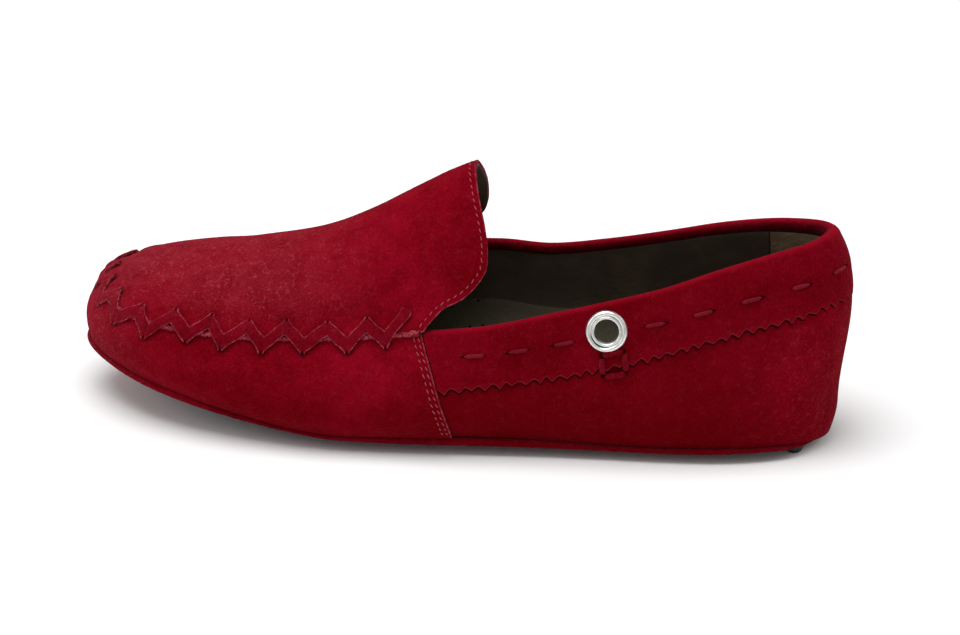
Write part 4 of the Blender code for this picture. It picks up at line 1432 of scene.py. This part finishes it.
# The leaf-shaped cuts and the tack's holes go into slits as dark shapes of painted shade.
work, slits = bmesh.new(), bmesh.new()
for side in (-1.0, 1.0):
    for k, place in enumerate(STITCH_PLACE):
        if side > 0.0 and place == EYELET_STITCH:
            continue
        centre = stitch_line(side * place)
        along = stitch_line(side * (place + 0.05)) - stitch_line(side * (place - 0.05))
        length = 1.0 + 0.06 * math.sin(3.0 * k + side)
        lay_leaf(slits, centre, along, HOLE_LENGTH * length, HOLE_WIDTH, BAND_LIFT + 0.42, 3.6)
        pulled = centre + math.copysign(THONG_PULLED, EYELET_STITCH - place) * sized(along)
        lay_leaf(work, pulled, along, THONG_LENGTH * length, THONG_WIDTH, BAND_LIFT + 0.25,
                 5.5, THONG_CROWN)
stitch_faces = len(work.faces)
corners = [wall(place, part) for place, part in TACK_CORNERS]
for k, corner in enumerate(corners):
    after = corners[(k + 1) % 4]
    base = BAND_LIFT + 0.3 if k != 2 else QUARTER_LIFT + 0.9
    gap = TACK_GAP * (k % 2) * (after - corner)
    lay_thong(work, corner + gap, after - gap, base)
    spot, normal = on_last(corner[None], BAND_LIFT + (0.25 if k < 2 else -0.75))
    lay_slit(slits, spot[0], normal[0], after - corner, TACK_HOLES[k], TACK_HOLES[k])
for face in list(work.faces)[stitch_faces:]:
    face.material_index = 1
face_out(work)
face_out(slits)
finish_piece("collar_thong", work, [thong_suede, tack_suede], None, 0.6)
finish_piece("thong_holes", slits, [hole_painted_shade])


# ---- Sewing ----
# Waxed thread, paler than the suede: a row round the tongue's edge and two rows down each
# vamp seam.
THREAD_LENGTH = 2.0
THREAD_PITCH = 2.8
THREAD_RADIUS = 0.22
SLANT = 0.24                               # how far each stitch turns off the line, in radians
TONGUE_INSET = 2.2
SEAM_ROWS = (1.5, 3.3)


def make_thread():
    paint, spot, shader = new_finish("waxed_thread", Roughness=0.7, Specular_IOR_Level=0.15)
    twist = spot.noise(0.5, 2.0, 0.5)
    connect(shader, "Base Color", twist.mix((0.190, 0.014, 0.026, 1.0),
                                            (0.480, 0.095, 0.130, 1.0)))
    connect(shader, "Normal", twist.bump(0.1))
    return paint


def sew(work, line, lift):
    """Stitches of thread laid end to end along a line of points."""
    spots, normals = on_last(line, lift)
    arcs = arcs_along(spots)
    for k in range(int((arcs[-1] - THREAD_LENGTH) / THREAD_PITCH) + 1):
        first = k * THREAD_PITCH + 0.15 * math.sin(7.0 * k)
        ends = [np.array([np.interp(at, arcs, spots[:, i]) for i in range(3)])
                for at in (first, first + THREAD_LENGTH)]
        along = Vector(ends[1] - ends[0])
        if along.length < 0.5 * THREAD_LENGTH:
            continue
        middle = (ends[0] + ends[1]) / 2.0
        near = int(np.searchsorted(arcs, first + THREAD_LENGTH / 2.0))
        normal = Vector(normals[min(near, len(normals) - 1)])
        x = along.normalized()
        x.rotate(Quaternion(normal, SLANT + 0.12 * math.sin(5.3 * k)))
        y = normal.cross(x).normalized()
        turn = Matrix((x, y, x.cross(y))).transposed().to_4x4()
        half = along.length * (0.46 + 0.07 * math.sin(3.7 * k))
        size = Matrix.Diagonal((half, THREAD_RADIUS, THREAD_RADIUS * 0.8, 1.0))
        bmesh.ops.create_uvsphere(work, u_segments=8, v_segments=6, radius=MM,
                                  matrix=Matrix.Translation(Vector(middle) * MM) @ turn @ size)


def tongue_outline():
    """The tongue's free edge: up its outer side, over its tip and down its inner side."""
    rise = TIP - (TIP - THROAT - 0.04) * np.linspace(1.0, 0.0, 90) ** 1.6
    rows = np.concatenate([rise, np.full(60, float(TIP)), rise[::-1]])
    return rows, np.vstack([
        apron(rise, -rounded_off(rise, -1.0)),
        apron(float(TIP), np.linspace(-TIP_FLAT[0], TIP_FLAT[1], 60)),
        apron(rise[::-1], rounded_off(rise[::-1], 1.0)),
    ])


def inset_line(line, inset):
    """A line moved sideways over the last, towards the side where inset is positive."""
    spots, normals = on_last(line)
    along = sized(np.gradient(spots, axis=0))
    moved = spots + inset * sized(np.cross(along, normals))
    for _ in range(25):
        moved[1:-1] = 0.5 * moved[1:-1] + 0.25 * (moved[:-2] + moved[2:])
    return moved


thread = make_thread()
work = bmesh.new()
outline_rows, outline = tongue_outline()
rim = on_last(outline)[0]
side_sign = 1.0 if inset_line(outline, 1.0)[90][0] < rim[90][0] else -1.0
tongue_line = inset_line(outline, side_sign * TONGUE_INSET)
sew(work, tongue_line, apron_lift(outline_rows, TONGUE_INSET) + 0.12)
parts = np.linspace(0.03, 0.985, 120)
for row in SEAM_ROWS:
    for side in (1.0, -1.0):
        start = seam_place(parts)
        place_run = np.linalg.norm(wall(start + 0.1, parts) - wall(start, parts), axis=-1) / 0.1
        ahead = row / place_run
        sew(work, wall(side * (start + ahead), parts), VAMP_LIFT + 0.1)
finish_piece("thread_sewing", work, [thread])
